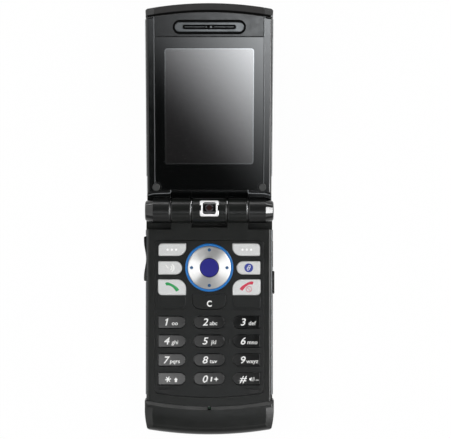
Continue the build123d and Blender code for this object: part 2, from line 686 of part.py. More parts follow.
def camera_module():
    """Lens barrel on its sensor block."""
    block = frame_prism(2.5, 2.4, -0.35) & box(-3, 3, -3, 3, -1, 1.6)
    lens = rod_z(1.9, 0, 0, 1.5, 2.9) - rod_z(1.15, 0, 0, 2.3, 4)
    glass = rod_z(1.15, 0, 0, 2.2, 2.5)
    return block + lens + glass


def on_camera(shape):
    """Put a camera piece, drawn looking up about the hinge axis, at its rest angle."""
    return Pos(0, 0, AXIS_Z) * Rot(CAMERA_TURN, 0, 0) * shape


# ---------------------------------------------------------------- lid
def lid_section(inset=0.0):
    """Cross-section of the lid: rounded rails inside, large soft edges outside."""
    rail, soft = 1.1 - inset * 0.5, 3.0 - inset
    side = LID_HALF - inset
    top, low = LID_IN - inset, LID_OUT + inset
    bend = ThreePointArc((side - rail - 0.3, top), (side - 0.3 - rail * 0.25, top - rail * 0.25),
                         (side - 0.3, top - rail))
    wall = Polyline((side - 0.3, top - rail), (side, LID_MID), (side, low + soft))
    curve = ThreePointArc((side, low + soft), (side - soft * 0.293, low + soft * 0.293),
                          (side - soft, low))
    rest = Polyline((side - soft, low), (0, low), (0, top), (side - rail - 0.3, top))
    face = make_face([*bend.edges(), *wall.edges(), *curve.edges(), *rest.edges()])
    return face + mirror(face, about=Plane.YZ)


def lid_profile(inset=0.0):
    """Side profile of the lid: the tip leans out towards the outer cover."""
    top, low = LID_IN - inset, LID_OUT + inset
    tip = LID_TIP_Y - inset
    lip = LID_EDGE_Y - inset
    bend = ThreePointArc((lip - 0.8, top), (lip - 0.25, top - 0.25), (lip, top - 0.9))
    slope = Polyline((lip, top - 0.9), (tip, -5.6))
    turn = -5.6 - low
    curve = ThreePointArc((tip, -5.6), (tip - turn * 0.293, -5.6 - turn * 0.707), (tip - turn, low))
    rest = Polyline((tip - turn, low), (-10, low), (-10, top), (lip - 0.8, top))
    return make_face([*bend.edges(), *slope.edges(), *curve.edges(), *rest.edges()])


def lid_envelope(inset=0.0):
    """Outer form of the whole lid from its root to its arched tip."""
    body = spun(lid_profile(inset), LID_EDGE_Y - ARCH_R, 56)
    body &= along(lid_section(inset), 3.0 + inset, 90)
    plan = arched(LID_HALF + 0.2 - inset, -20, LID_TIP_Y - inset)
    return body & prism(fillet(plan.vertices().sort_by(Axis.Y)[-2:], 1.4), -20, 5)


def root_cut():
    """Room for the barrel at the lid's root, with the sloped lower edge of the face."""
    slope = polygon((-9, 2), (LID_ROOT_Y + 0.2, 2), (LID_ROOT_Y + 0.2, LID_IN - 0.3), (5.0, -2.6),
                    (-9, -2.6))
    middle = across(slope, -KNUCKLE_MID - KNUCKLE_GAP, KNUCKLE_MID + KNUCKLE_GAP)
    middle += rod_x(BARREL_R + 0.45, -KNUCKLE_MID - KNUCKLE_GAP, KNUCKLE_MID + KNUCKLE_GAP)
    sides = polygon((-9, 2), (LID_ROOT_Y + 0.4, 2), (LID_ROOT_Y + 0.4, LID_IN),
                    (LID_ROOT_Y - 0.45, LID_IN - 0.28), (LID_ROOT_Y - 0.6, -1.9), (-9, -1.9))
    return middle + both(across(sides, KNUCKLE_MID + KNUCKLE_GAP, 30))


def lid_knuckle():
    """Right lid knuckle with its tapered outer end."""
    inner, outer = KNUCKLE_MID + KNUCKLE_GAP, HALF_WIDTH
    run, drop = KNUCKLE_BEVEL
    half = polygon((inner, 0), (inner, BARREL_R - drop), (inner + run, BARREL_R),
                   (outer - FACET_RUN, BARREL_R), (outer - 0.35, KNUCKLE_TIP_R),
                   (outer, KNUCKLE_TIP_R - 0.45), (outer, 0))
    return revolve(Plane.XZ * half, Axis.X, 360)


def lid_inner_frame():
    """Inner shell: rails, display seat and the two lid knuckles."""
    shell = lid_envelope() & box(-30, 30, 0, 90, LID_MID, 2)
    shell -= root_cut()
    shell += both(lid_knuckle())
    shell -= both(rod_x(PIN_R + 0.02, KNUCKLE_MID, 21.1))
    shell -= prism(glass_outline(), LID_IN - GLASS_T - 0.1, 2)
    shell -= prism(earpiece_plan(), LID_IN - GLASS_T - 0.1, 2)
    shell -= box(-18.9, 18.9, 13.5, 65.2, -9, 2)
    shell -= prism(stadium(-13.7, 13.7, 67.4, 72.8), -9, 2)
    shell -= both(prism(Pos(20.3, 9.2) * Circle(1.52), -1.15, 2))
    rim = lid_envelope(1.1) & box(-30, 30, 12, 71.5, -9, -2.6)
    shell -= rim
    return shell - tip_zone(0.06) - tip_groove()


def tip_groove():
    """Open joint between the lid's face and its tip, following the arch."""
    near, far = TIP_JOINT
    band = arched(30, 50, LID_EDGE_Y + far) - arched(30, 50, LID_EDGE_Y + near)
    return prism(band, TIP_JOINT_Z, 2)


def glass_outline(shrink=0.0):
    """Display panel: straight, with its lower corners cut round the bumpers."""
    half, low, top = GLASS_HALF - shrink, LID_ROOT_Y + 1.0 + shrink, GLASS_TOP_Y - shrink
    plan = rounded(-half, half, low, top, [0.4, 0.4, 0.3, 0.3])
    return plan - Pos(20.3, 9.2) * Circle(2.1 + shrink) - Pos(-20.3, 9.2) * Circle(2.1 + shrink)


def display_glass():
    """Clear cover of the display, printed black round its window."""
    return prism(glass_outline(0.08), LID_IN - GLASS_T - 0.05, LID_IN - GLASS_SUNK)


def earpiece_plan(shrink=0.0):
    """Upper face panel between the display and the arched tip."""
    return arched(GLASS_HALF - shrink, GLASS_TOP_Y + 0.02 + shrink, LID_EDGE_Y + TIP_JOINT[0])


def earpiece_panel():
    """Upper face panel with the stadium recess of the earpiece."""
    panel = prism(earpiece_plan(0.12), LID_IN - GLASS_T, LID_IN - 0.02)
    panel = chamfer(panel.faces().sort_by(Axis.Z)[-1].edges(), 0.12)
    return panel - prism(stadium(-13.65, 13.65, 67.45, 72.75), -9, 2)


def earpiece_insert():
    """Raised stadium insert with its sound slot and centre bar."""
    insert = prism(stadium(-13.1, 13.1, 68.2, 72.0), -2.4, LID_IN - 0.1)
    insert = chamfer(insert.faces().sort_by(Axis.Z)[-1].edges(), 0.25)
    insert += prism(stadium(-13.6, 13.6, 67.5, 72.7), -2.4, -2.0)
    insert -= prism(stadium(-10.1, 10.1, 69.25, 70.95), -1.9, 2)
    bridge = box(-1.0, 1.0, 69.1, 71.1, -2.0, LID_IN - 0.6)
    return insert + box(-9.2, 9.2, 69.97, 70.23, -2.0, LID_IN - 0.7) + bridge


def earpiece_speaker():
    """Flat oval receiver behind the insert."""
    return prism(stadium(-6.5, 6.5, 67.9, 72.3), -4.3, -2.5)


def display_module():
    """Liquid-crystal panel in its metal frame, with its driver board behind."""
    panel = box(-18.7, 18.7, 14.0, 64.9, -3.3, LID_IN - GLASS_T - 0.15)
    board = box(-17.5, 17.5, 15.0, 64.0, -4.1, -3.2)
    return panel + board


def tip_zone(play):
    """Space beyond the arch at the tip, between the two corners of the outer cover."""
    block = box(-20.65 - play, 20.65 + play, 60, 90, -6.9 - play, 2)
    return block - prism(arched(30, 50, LID_EDGE_Y + TIP_JOINT[1] - play), -20, 5)


def lid_end_cap():
    """Middle piece of the tip, following the arch."""
    return lid_envelope() & tip_zone(0)


def lid_outer_cover():
    """Outer shell with soft edges, arched tip and the small window's seat."""
    shell = lid_envelope() & box(-30, 30, 0, 90, -20, LID_MID - 0.02)
    shell -= lid_envelope(WALL) & box(-30, 30, 8, 90, -20, 0)
    shell -= prism(arched(20.0, 60, LID_EDGE_Y + TIP_JOINT[1]), LID_OUT + WALL + 0.1, 0)
    shell -= root_cut()
    shell -= box(-30, 30, -5, 4.2, -4.7, 5)
    shell -= prism(rounded(-13.1, 13.1, 36.9, 57.1, [2.1] * 4), -9, -7.35)
    shell -= prism(rounded(-11.5, 11.5, 38.5, 55.5, [1.0] * 4), -9, -5)
    return shell - tip_zone(0.06)


def outer_window():
    """Clear cover of the small outer display."""
    return prism(rounded(-13.0, 13.0, 37.0, 57.0, [2.0] * 4), LID_OUT + 0.02, -7.4)


def outer_display():
    """Small display behind the outer window."""
    return box(-12.3, 12.3, 37.7, 56.3, -6.75, -5.0)


def lid_side_trims():
    """Bright strips let into the lid's sides."""
    strip = polygon((LID_HALF - 0.7, -6.0), (LID_HALF + 0.02, -5.6), (LID_HALF + 0.12, -4.4),
                    (LID_HALF - 0.02, -3.1), (LID_HALF - 0.7, -2.9))
    return both(along(strip, 12.9, 72.6))


def lid_bumpers():
    """Two round rubber buttons that meet the base when the lid is shut."""
    button = rod_z(1.45, 20.3, 9.2, -1.1, 0.28)
    return both(chamfer(button.faces().sort_by(Axis.Z)[-1].edges(), 0.2))


def on_lid(shape):
    """Turn a lid piece, drawn flat about the hinge axis, up to the open stop."""
    return Pos(0, 0, AXIS_Z) * Rot(OPEN_TILT, 0, 0) * shape


# ---------------------------------------------------------------- assembly
def base_parts(outlines):
    """Every fixed piece of the base."""
    trim_seat = box(FACE_HALF, 30, TRIM_SPAN[0] - 0.05, TRIM_SPAN[1] + 0.05, 4.38, 8.42)
    sides_room = side_windows() + both(trim_seat)
    return {
        "base_front_housing": base_front_housing() - hinge_bores() - sides_room,
        "base_rear_housing": base_rear_housing() - sides_room,
        "chin_cover": chin_cover(),
        "keypad_panel": keypad_panel(outlines),
        "keypad_stops": keypad_stops(),
        "nav_halo": nav_halo(),
        "base_side_trims": base_side_trims(),
        "charging_socket": charging_socket(),
        "main_board": main_board(),
        "dome_sheet": dome_sheet(outlines),
        "battery": battery(),
        "sim_holder": sim_holder(),
        "loudspeaker": loudspeaker(),
        "vibration_motor": vibration_motor(),
        "antenna_element": antenna_element(),
        "base_screws": base_screws(),
        "hinge_module": hinge_module(),
    }


def moving_parts(outlines):
    """Keys, controls and covers of the base."""
    pieces = {name: key(outline) for name, outline in outlines.items()}
    pieces.update({
        "nav_disc": nav_disc(),
        "nav_actuator": nav_actuator(),
        "centre_key": centre_key(),
        "volume_rocker": volume_rocker(),
        "side_key": side_key(),
        "connector_flap": connector_flap(),
        "battery_cover": battery_cover(),
    })
    return pieces


def camera_parts():
    """Turning camera."""
    pieces = {
        "camera_barrel": camera_barrel(),
        "camera_bezel": camera_bezel(),
        "camera_window": camera_window(),
        "camera_module": camera_module(),
    }
    return {name: on_camera(shape) for name, shape in pieces.items()}


def lid_parts():
    """Everything that swings with the lid."""
    trims = lid_side_trims()
    pieces = {
        "lid_inner_frame": lid_inner_frame() - trims,
        "lid_outer_cover": lid_outer_cover() - trims,
        "lid_end_cap": lid_end_cap(),
        "lid_side_trims": trims,
        "lid_bumpers": lid_bumpers(),
        "display_glass": display_glass(),
        "display_module": display_module(),
        "earpiece_panel": earpiece_panel(),
        "earpiece_insert": earpiece_insert(),
        "earpiece_speaker": earpiece_speaker(),
        "outer_window": outer_window(),
        "outer_display": outer_display(),
        "hinge_pins": hinge_pins(),
    }
    return {name: on_lid(shape) for name, shape in pieces.items()}


key_plans = key_outlines()
phone = {**base_parts(key_plans), **moving_parts(key_plans), **camera_parts(), **lid_parts()}
for part_name, part_shape in phone.items():
    save(part_name, part_shape)
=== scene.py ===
"""Slim clamshell phone: finishes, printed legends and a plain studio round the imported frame."""

import json
import logging
import math
from collections.abc import Sequence
from dataclasses import dataclass
from enum import Enum

import bmesh
import bpy
from bpy.types import ID, Curve, Material, Mesh, Node, NodeSocket, NodeTree, Object
from mathutils import Matrix, Vector

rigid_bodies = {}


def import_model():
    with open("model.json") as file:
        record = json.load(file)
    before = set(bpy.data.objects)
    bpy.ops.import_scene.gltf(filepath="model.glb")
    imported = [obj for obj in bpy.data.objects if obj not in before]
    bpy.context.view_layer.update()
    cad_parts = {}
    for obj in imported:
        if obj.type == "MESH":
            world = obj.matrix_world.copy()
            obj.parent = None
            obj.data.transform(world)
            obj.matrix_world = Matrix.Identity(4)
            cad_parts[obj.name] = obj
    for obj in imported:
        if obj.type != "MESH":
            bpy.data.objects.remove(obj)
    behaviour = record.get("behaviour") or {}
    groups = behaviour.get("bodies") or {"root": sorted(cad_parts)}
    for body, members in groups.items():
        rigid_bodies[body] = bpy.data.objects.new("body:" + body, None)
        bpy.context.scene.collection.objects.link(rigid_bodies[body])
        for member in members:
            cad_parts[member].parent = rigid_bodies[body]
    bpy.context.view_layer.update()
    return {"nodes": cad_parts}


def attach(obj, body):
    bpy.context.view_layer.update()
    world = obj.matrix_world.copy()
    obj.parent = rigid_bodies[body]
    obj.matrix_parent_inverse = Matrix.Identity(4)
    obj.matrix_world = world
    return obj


LOG = logging.getLogger("clamshell_phone")

MM = 0.001
HINGE_Y, HINGE_Z = 43.0, 11.4      # hinge axis in the row frame, mm
LID_TILT = 12.0                    # degrees that the open lid stands above flat
KEY_TOP = 11.35                    # upper face of the keys, mm
NAV_Y = 21.25                      # middle of the four-way disc, mm
PRINT_MM = 0.02                    # height of a printed legend over its key
PATCHES_PER_MM = 0.35              # how fast a gloss strays over a surface
NOISE_SPAN = (0.3, 0.7)            # values that most of a noise lies between
RAMP = ("From Min", "From Max", "To Min", "To Max")    # ends of a Map Range node

Pair = tuple[float, float]
Points = Sequence[Pair]
Ends = tuple[float, float, float, float]


# ---- small helpers
def linear(code: str) -> tuple[float, float, float, float]:
    """Turn an sRGB hex colour into linear values.

    Args:
        code: Six hex digits.

    Returns:
        Red, green and blue, linear, and a full fourth channel.
    """
    parts = [int(code[k:k + 2], 16) / 255 for k in (0, 2, 4)]
    return (*[p / 12.92 if p <= 0.04045 else ((p + 0.055) / 1.055) ** 2.4 for p in parts], 1.0)


def add_node(tree: NodeTree, kind: str, settings: dict | None = None,
             inputs: dict | None = None) -> Node:
    """Add one shader node with its settings and links.

    Args:
        tree: Node tree that takes the node.
        kind: Node type without its ShaderNode prefix.
        settings: Attributes of the node.
        inputs: Values, or output sockets to link, by input name or number.

    Returns:
        The new node.
    """
    node = tree.nodes.new("ShaderNode" + kind)
    for name, value in (settings or {}).items():
        setattr(node, name, value)
    for key, value in (inputs or {}).items():
        if isinstance(value, NodeSocket):
            tree.links.new(value, node.inputs[key])
        else:
            node.inputs[key].default_value = value
    return node


def new_material(name: str) -> Material:
    """Start a material with nodes.

    Args:
        name: Its name.

    Returns:
        The material.
    """
    made = bpy.data.materials.new(name)
    made.use_nodes = True
    return made


def new_object(name: str, data: ID) -> Object:
    """Put data in the scene as an object.

    Args:
        name: Name of the object.
        data: Its mesh, curve, light or camera.

    Returns:
        The new object.
    """
    made = bpy.data.objects.new(name, data)
    bpy.context.scene.collection.objects.link(made)
    return made


def hinge_place(turn: float) -> Matrix:
    """Place of things drawn in mm about the hinge axis, turned about it by some degrees."""
    turned = Matrix.Rotation(math.radians(turn), 4, "X")
    return Matrix.Translation(Vector((0, HINGE_Y, HINGE_Z)) * MM) @ turned @ Matrix.Scale(MM, 4)


def lid_place() -> Matrix:
    """Place of things drawn flat about the hinge axis, in mm, on the tilted lid."""
    return hinge_place(LID_TILT)


def base_place(x: float, y: float, z: float) -> Matrix:
    """Place of things drawn in mm about a point of the base."""
    return Matrix.Translation(Vector((x, y, z)) * MM) @ Matrix.Scale(MM, 4)


# ---- finishes
@dataclass(frozen=True)
class Finish:
    """What every finish has: a colour, a gloss and the small grain of how it was made.

    Attributes:
        name: Material name.
        colour: Body colour, sRGB hex.
        roughness: Roughness of the body.
        metallic: 1 for bare metal.
        ior: Index of refraction.
        grain_mm: Size of one grain; 0 for none.
        grain_depth: Height of the grain in mm.
        gloss_spread: How far roughness strays from patch to patch.
        edge_mm: Rounding that light finds on the moulded edges.
        coat: Weight of a clear coat.
        specular: Strength of the shine; 0.5 is the plain value for its index.
    """

    name: str
    colour: str
    roughness: float
    metallic: float = 0.0
    ior: float = 1.5
    grain_mm: float = 0.3
    grain_depth: float = 0.004
    gloss_spread: float = 0.05
    edge_mm: float = 0.12
    coat: float = 0.0
    specular: float = 0.5

    def material(self) -> Material:
        """Build the material once, and give the same one after that.

        Returns:
            The material.
        """
        made = bpy.data.materials.get(self.name)
        if made:
            return made
        made = new_material(self.name)
        tree = made.node_tree
        shader = tree.nodes["Principled BSDF"]
        for socket, value in {"Base Color": linear(self.colour), "Roughness": self.roughness,
                              "Metallic": self.metallic, "IOR": self.ior,
                              "Specular IOR Level": self.specular,
                              "Coat Weight": self.coat}.items():
            shader.inputs[socket].default_value = value
        self.pattern(tree, shader)
        return made

    def place(self, tree: NodeTree) -> NodeSocket:
        """Add object coordinates in mm.

        Args:
            tree: Node tree of the material.

        Returns:
            The socket that gives them.
        """
        coords = add_node(tree, "TexCoord")
        scaled = add_node(tree, "Mapping", inputs={
            "Vector": coords.outputs["Object"], "Scale": (1000, 1000, 1000)})
        return scaled.outputs["Vector"]

    def shade(self, tree: NodeTree, shader: Node,
              share: NodeSocket) -> None:
        """Darken the body colour by a share that changes over the surface.

        Args:
            tree: Node tree of the material.
            shader: Its Principled node.
            share: Share of brightness that is left.
        """
        colour = add_node(tree, "Mix", {"data_type": "RGBA", "blend_type": "MULTIPLY"}, {
            "Factor": 1.0, 6: linear(self.colour), 7: share})
        tree.links.new(colour.outputs[2], shader.inputs["Base Color"])

    def pattern(self, tree: NodeTree, shader: Node) -> None:
        """Add the grain, the uneven gloss and the rounded edges.

        Args:
            tree: Node tree of the material.
            shader: Its Principled node.
        """
        where = self.place(tree)
        if self.gloss_spread:
            patches = add_node(tree, "TexNoise", inputs={
                "Vector": where, "Scale": PATCHES_PER_MM, "Detail": 3.0})
            glossy = max(self.roughness - self.gloss_spread, 0.01)
            ends = (*NOISE_SPAN, glossy, self.roughness + self.gloss_spread)
            gloss = add_node(tree, "MapRange", inputs={
                "Value": patches.outputs["Fac"], **dict(zip(RAMP, ends))})
            tree.links.new(gloss.outputs["Result"], shader.inputs["Roughness"])
        normal = None
        if self.edge_mm:
            edges = add_node(tree, "Bevel", {"samples": 4}, {"Radius": self.edge_mm * MM})
            normal = edges.outputs["Normal"]
        if self.grain_mm:
            grain = add_node(tree, "TexNoise", inputs={
                "Vector": where, "Scale": 1 / self.grain_mm, "Detail": 2.0})
            bump_inputs = {"Height": grain.outputs["Fac"], "Distance": self.grain_depth * MM}
            if normal:
                bump_inputs["Normal"] = normal
            normal = add_node(tree, "Bump", inputs=bump_inputs).outputs["Normal"]
        if normal:
            tree.links.new(normal, shader.inputs["Normal"])


@dataclass(frozen=True)
class Smooth(Finish):
    """Print, foil, glass or a polished edge: no grain, no stray gloss, no rounding."""

    grain_mm: float = 0.0
    gloss_spread: float = 0.0
    edge_mm: float = 0.0


@dataclass(frozen=True)
class SpunMetal(Finish):
    """Aluminium spun under an abrasive: fine rings that fan the light out from the middle, with a
    painted highlight that keeps the colour full to the sides and darkens it up and down.

    Attributes:
        ring_mm: Width of one ring.
        ring_depth: Height of a ring in mm.
        ring_shade: Share of brightness left in the darkest ring.
        ring_span: Noise values of the darkest and of the lightest ring.
        centre_y: Middle of the rings.
        spread: How strongly the rings stretch a reflection outwards.
        painted_fan_dull: Painted shade: share of brightness left across the fan, up and down the
            disc.
        painted_fan_turn: How far the painted fan lies turned, clockwise, in degrees.
        painted_fan_edges: Where the painted fan starts and is full, as the cosine from its middle.
    """

    ring_mm: float = 0.16
    ring_depth: float = 0.002
    ring_shade: float = 0.9
    ring_span: Pair = (0.35, 0.65)
    centre_y: float = NAV_Y
    spread: float = 0.9
    painted_fan_dull: float = 0.95
    painted_fan_turn: float = 25.0
    painted_fan_edges: Pair = (0.45, 0.9)

    def pattern(self, tree: NodeTree, shader: Node) -> None:
        """Add rings about the middle, from the distance to it, and a painted fan of highlight in
        their colour.

        Args:
            tree: Node tree of the material.
            shader: Its Principled node.
        """
        coords = add_node(tree, "TexCoord")
        local = add_node(tree, "Mapping", inputs={
            "Vector": coords.outputs["Object"], "Scale": (1000, 1000, 0),
            "Location": (0, -self.centre_y, 0)})
        reach = add_node(tree, "VectorMath", {"operation": "LENGTH"}, {0: local.outputs["Vector"]})
        rings = add_node(tree, "TexNoise", {"noise_dimensions": "1D"}, {
            "W": reach.outputs["Value"], "Scale": 1 / self.ring_mm, "Detail": 3.0})
        shine = add_node(tree, "MapRange", inputs={
            "Value": rings.outputs["Fac"],
            **dict(zip(RAMP, (*self.ring_span, self.ring_shade, 1.0)))})
        # Painted highlight: the colour stays full to the sides of the disc and is darkened up and
        # down.
        turned = add_node(tree, "Mapping", inputs={
            "Vector": local.outputs["Vector"], "Rotation": (0, 0, math.radians(self.painted_fan_turn))})
        heading = add_node(tree, "VectorMath", {"operation": "NORMALIZE"},
                           {0: turned.outputs["Vector"]})
        sideways = add_node(tree, "SeparateXYZ", inputs={0: heading.outputs["Vector"]})
        aside = add_node(tree, "Math", {"operation": "ABSOLUTE"}, {0: sideways.outputs["X"]})
        painted_fan = add_node(tree, "MapRange", {"interpolation_type": "SMOOTHSTEP"}, {
            "Value": aside.outputs[0], **dict(zip(RAMP, (*self.painted_fan_edges, self.painted_fan_dull, 1.0)))})
        share = add_node(tree, "Math", {"operation": "MULTIPLY"},
                         {0: shine.outputs[0], 1: painted_fan.outputs[0]})
        self.shade(tree, shader, share.outputs[0])
        bump = add_node(tree, "Bump", inputs={
            "Height": rings.outputs["Fac"], "Distance": self.ring_depth * MM})
        tangent = add_node(tree, "Tangent", {"direction_type": "RADIAL", "axis": "Z"})
        shader.inputs["Anisotropic"].default_value = self.spread
        shader.inputs["Anisotropic Rotation"].default_value = 0.25
        tree.links.new(bump.outputs["Normal"], shader.inputs["Normal"])
        tree.links.new(tangent.outputs["Tangent"], shader.inputs["Tangent"])


@dataclass(frozen=True)
class KnuckleZone(Finish):
    """Resin whose hinge knuckles are turned to a gloss of their own, except their tips.

    Attributes:
        satin: Roughness of the knuckles.
        knuckle_mm: Reach of the knuckles about the hinge axis, along Y.
        tip_mm: Where the polished tips start, along X.
    """

    satin: float = 0.3
    knuckle_mm: float = 4.7
    tip_mm: float = 21.45

    def pattern(self, tree: NodeTree, shader: Node) -> None:
        """Add the usual grain, with a gloss of its own round the hinge axis.

        Args:
            tree: Node tree of the material.
            shader: Its Principled node.
        """
        super().pattern(tree, shader)
        polished = shader.inputs["Roughness"].links[0].from_socket
        axes = add_node(tree, "SeparateXYZ", inputs={0: self.place(tree)})
        reach = add_node(tree, "Math", {"operation": "COMPARE"}, {
            0: axes.outputs["Y"], 1: HINGE_Y, 2: self.knuckle_mm})
        aside = add_node(tree, "Math", {"operation": "ABSOLUTE"}, {0: axes.outputs["X"]})
        inner = add_node(tree, "Math", {"operation": "LESS_THAN"},
                         {0: aside.outputs[0], 1: self.tip_mm})
        zone = add_node(tree, "Math", {"operation": "MULTIPLY"},
                        {0: reach.outputs[0], 1: inner.outputs[0]})
        gloss = add_node(tree, "Mix", {"data_type": "FLOAT"},
                         {0: zone.outputs[0], 2: polished, 3: self.satin})
        tree.links.new(gloss.outputs[0], shader.inputs["Roughness"])


@dataclass(frozen=True)
class Flaked(Finish):
    """Metallic lacquer: tiny flakes in the paint, each a little lighter or darker.

    Attributes:
        flake_mm: Size of one flake, coarser than real so that it shows.
        flake_shade: Share of brightness left in the darkest flake.
    """

    flake_mm: float = 0.12
    flake_shade: float = 0.86

    def pattern(self, tree: NodeTree, shader: Node) -> None:
        """Add flakes over the usual uneven gloss.

        Args:
            tree: Node tree of the material.
            shader: Its Principled node.
        """
        super().pattern(tree, shader)
        flakes = add_node(tree, "TexVoronoi", inputs={
            "Vector": self.place(tree), "Scale": 1 / self.flake_mm})
        grey = add_node(tree, "SeparateColor", inputs={0: flakes.outputs["Color"]})
        share = add_node(tree, "MapRange", inputs={
            "Value": grey.outputs[0], **dict(zip(RAMP, (0.0, 1.0, self.flake_shade, 1.0)))})
        self.shade(tree, shader, share.outputs["Result"])


@dataclass(frozen=True)
class Tracked(Finish):
    """Circuit board: copper tracks under a green solder mask.

    Attributes:
        pitch_mm: Distance between tracks.
        track: Colour of the mask over a track, sRGB hex.
        track_edge: Where a track starts and is full, as a share of the pitch.
    """

    pitch_mm: float = 1.1
    track: str = "1F6B3E"
    track_edge: Pair = (0.45, 0.5)

    def pattern(self, tree: NodeTree, shader: Node) -> None:
        """Add blocky cells for tracks and pads.

        Args:
            tree: Node tree of the material.
            shader: Its Principled node.
        """
        cells = add_node(tree, "TexVoronoi", {"distance": "MANHATTAN"},
                         {"Vector": self.place(tree), "Scale": 1 / self.pitch_mm})
        ramp = add_node(tree, "MapRange", inputs={
            "Value": cells.outputs["Distance"],
            **dict(zip(RAMP, (*self.track_edge, 0.0, 1.0)))})
        colour = add_node(tree, "Mix", {"data_type": "RGBA"}, {
            "Factor": ramp.outputs["Result"], 6: linear(self.colour), 7: linear(self.track)})
        tree.links.new(colour.outputs[2], shader.inputs["Base Color"])


class Palette:
    """Every finish of the phone, by what it is made of and how."""

    # Moulded ABS with a fine spark texture: dull black that turns grey towards the light.
    shell = KnuckleZone("spark_textured_abs", "101210", 0.33, specular=0.34, tip_mm=30.0,
                        grain_mm=0.22)
    # The same resin, a little warmer and duller, on the tip that hides the lid's screws.
    tip = Finish("warm_black_abs", "100E0D", 0.5, grain_mm=0.22, specular=0.22)
    # The same resin in a polished mould: hard highlights along the lid's rails.
    rail = KnuckleZone("polished_mould_abs", "0B0C0C", 0.1, grain_mm=2.0, grain_depth=0.001,
                       gloss_spread=0.02)
    # Satin lacquer round the earpiece: the same black with a wide, weak shine.
    satin = Finish("satin_lacquer", "090A0A", 0.14, specular=0.38, grain_mm=1.0,
                   grain_depth=0.001, gloss_spread=0.03)
    # Piano lacquer: deep black, mirror-like, hardly any grain.
    lacquer = Finish("piano_lacquer", "0B0B0C", 0.06, grain_mm=2.5, grain_depth=0.001,
                     gloss_spread=0.02)
    # Acrylic printed black from behind: black that lies under a clear sharp shine.
    acrylic = Smooth("printed_acrylic", "0A0B0B", 0.05, ior=1.56, edge_mm=0.1)
    # Liquid crystal switched off: grey, half mirror, with its own soft sheen under the cover.
    crystal = Smooth("liquid_crystal_off", "5E5D5D", 0.07, metallic=0.9, coat=1.0)
    # Foil edge of the display: a thin line that lights up where the display does.
    foil_edge = Smooth("display_edge_foil", "7C7D7E", 0.08, metallic=0.9)
    # Matte film on the keypad plate: even dark grey without a highlight.
    plate = Finish("matte_keypad_film", "0F1110", 0.34, specular=0.34, grain_mm=0.18)
    # Hard-coated polycarbonate: smooth keys that pick up whatever is above them.
    key = Finish("coated_polycarbonate", "080909", 0.1, grain_mm=0.8, grain_depth=0.001,
                 gloss_spread=0.02)
    # Silver lacquer with flakes on the function keys: pale, with a faint glitter.
    silver = Flaked("silver_lacquer", "DADBDA", 0.45, metallic=0.12, grain_mm=0.4,
                    grain_depth=0.002)
    # Spun aluminium: white to the left and right, grey above and below, partly from its stretched
    # reflections and partly from a painted highlight in its colour.
    spun = SpunMetal("spun_aluminium", "D2D2D1", 0.46, metallic=0.85, grain_mm=0)
    # Tinted light guide: clear blue resin, bright at its edges.
    blue = Finish("blue_light_guide", "0570BE", 0.25, grain_mm=0, gloss_spread=0.02, coat=0.6)
    # Violet metallic lacquer: deep colour with a faint glitter.
    violet = Flaked("violet_lacquer", "19198A", 0.3, metallic=0.2, grain_mm=0,
                    gloss_spread=0.02, flake_mm=0.1)
    # Satin chrome paint on the side strips: grey metal that mirrors the room softly.
    strip = Finish("satin_chrome_paint", "434546", 0.3, metallic=0.8, grain_mm=0.8,
                   grain_depth=0.001)
    # Satin chrome plate on plastic: the camera's rim, nearly white.
    chrome = Smooth("satin_chrome_plate", "F2F2F2", 0.5, metallic=0.6, gloss_spread=0.02,
                    edge_mm=0.15)
    # Smoked window: black glass with a sharp shine.
    smoked = Smooth("smoked_window", "050505", 0.04, edge_mm=0.08)
    # Lens with a painted reflection: a brown-red disc that stands in for the glint of its coating.
    lens = Smooth("painted_lens_glint", "34201D", 0.15, metallic=0.3)
    # Ring that holds the lens: a dull grey circle whose grey also paints the highlight at the
    # lens's rim.
    lens_ring = Smooth("lens_ring_painted_highlight", "434145", 0.35, metallic=0.3, gloss_spread=0.05)
    # Grey metallic paint of the earpiece insert: small flakes under a soft gloss.
    slate = Flaked("slate_metallic_paint", "46494B", 0.14, metallic=0.2, grain_mm=0,
                   flake_mm=0.1)
    # Silicone rubber: dull, a little dusty.
    rubber = Finish("silicone_rubber", "212322", 0.62, grain_mm=0.25, grain_depth=0.008)
    # Harder black rubber of the seals and the gasket: a line with no shine at all.
    black_rubber = Finish("black_gasket_rubber", "060606", 0.6, grain_mm=0.25, specular=0.03)
    # Painted highlight: pale grey lines laid along the lid's panel edges and root, where glossy
    # edges catch the light.
    painted_edge_line = Smooth("painted_edge_highlight", "66686A", 0.12)
    # Soft stops that the shut lid rests on, nearly the colour of the keypad.
    stop = Finish("stop_elastomer", "0C0D0D", 0.45, grain_mm=0.25, grain_depth=0.003,
                  specular=0.4)
    # Painted highlight on the bevels of the hinge knuckles: pale and bright.
    painted_glint = Smooth("painted_glint_grey", "D0D2D4", 0.25, metallic=0.3)
    # Leather-like texture on the sliding cover: soft grey that hides fingerprints.
    cover = Finish("textured_cover_abs", "1C1D1D", 0.5, grain_mm=0.45, grain_depth=0.02)
    # Solder mask over copper: dark green with lighter green blocks.
    board = Tracked("green_solder_mask", "0E4A2A", 0.35, grain_mm=0)
    # Clear film over snap domes: pale metal with a soft shine.
    dome = Finish("clear_dome_film", "A9ABAD", 0.3, metallic=0.8)
    # Shrunk sleeve round the battery: dark blue-grey with shallow waves.
    sleeve = Finish("shrink_sleeve", "2A2C33", 0.35, grain_mm=1.2, grain_depth=0.01)
    # Bare spring steel of screws, pins and sockets: light grey and bright.
    steel = Finish("bare_spring_steel", "A8A9AA", 0.28, metallic=1.0, grain_depth=0.002)
    # Woven cloth over the speakers: black that swallows the light.
    cloth = Finish("black_speaker_cloth", "0C0C0D", 0.8, grain_mm=0.25, grain_depth=0.03)
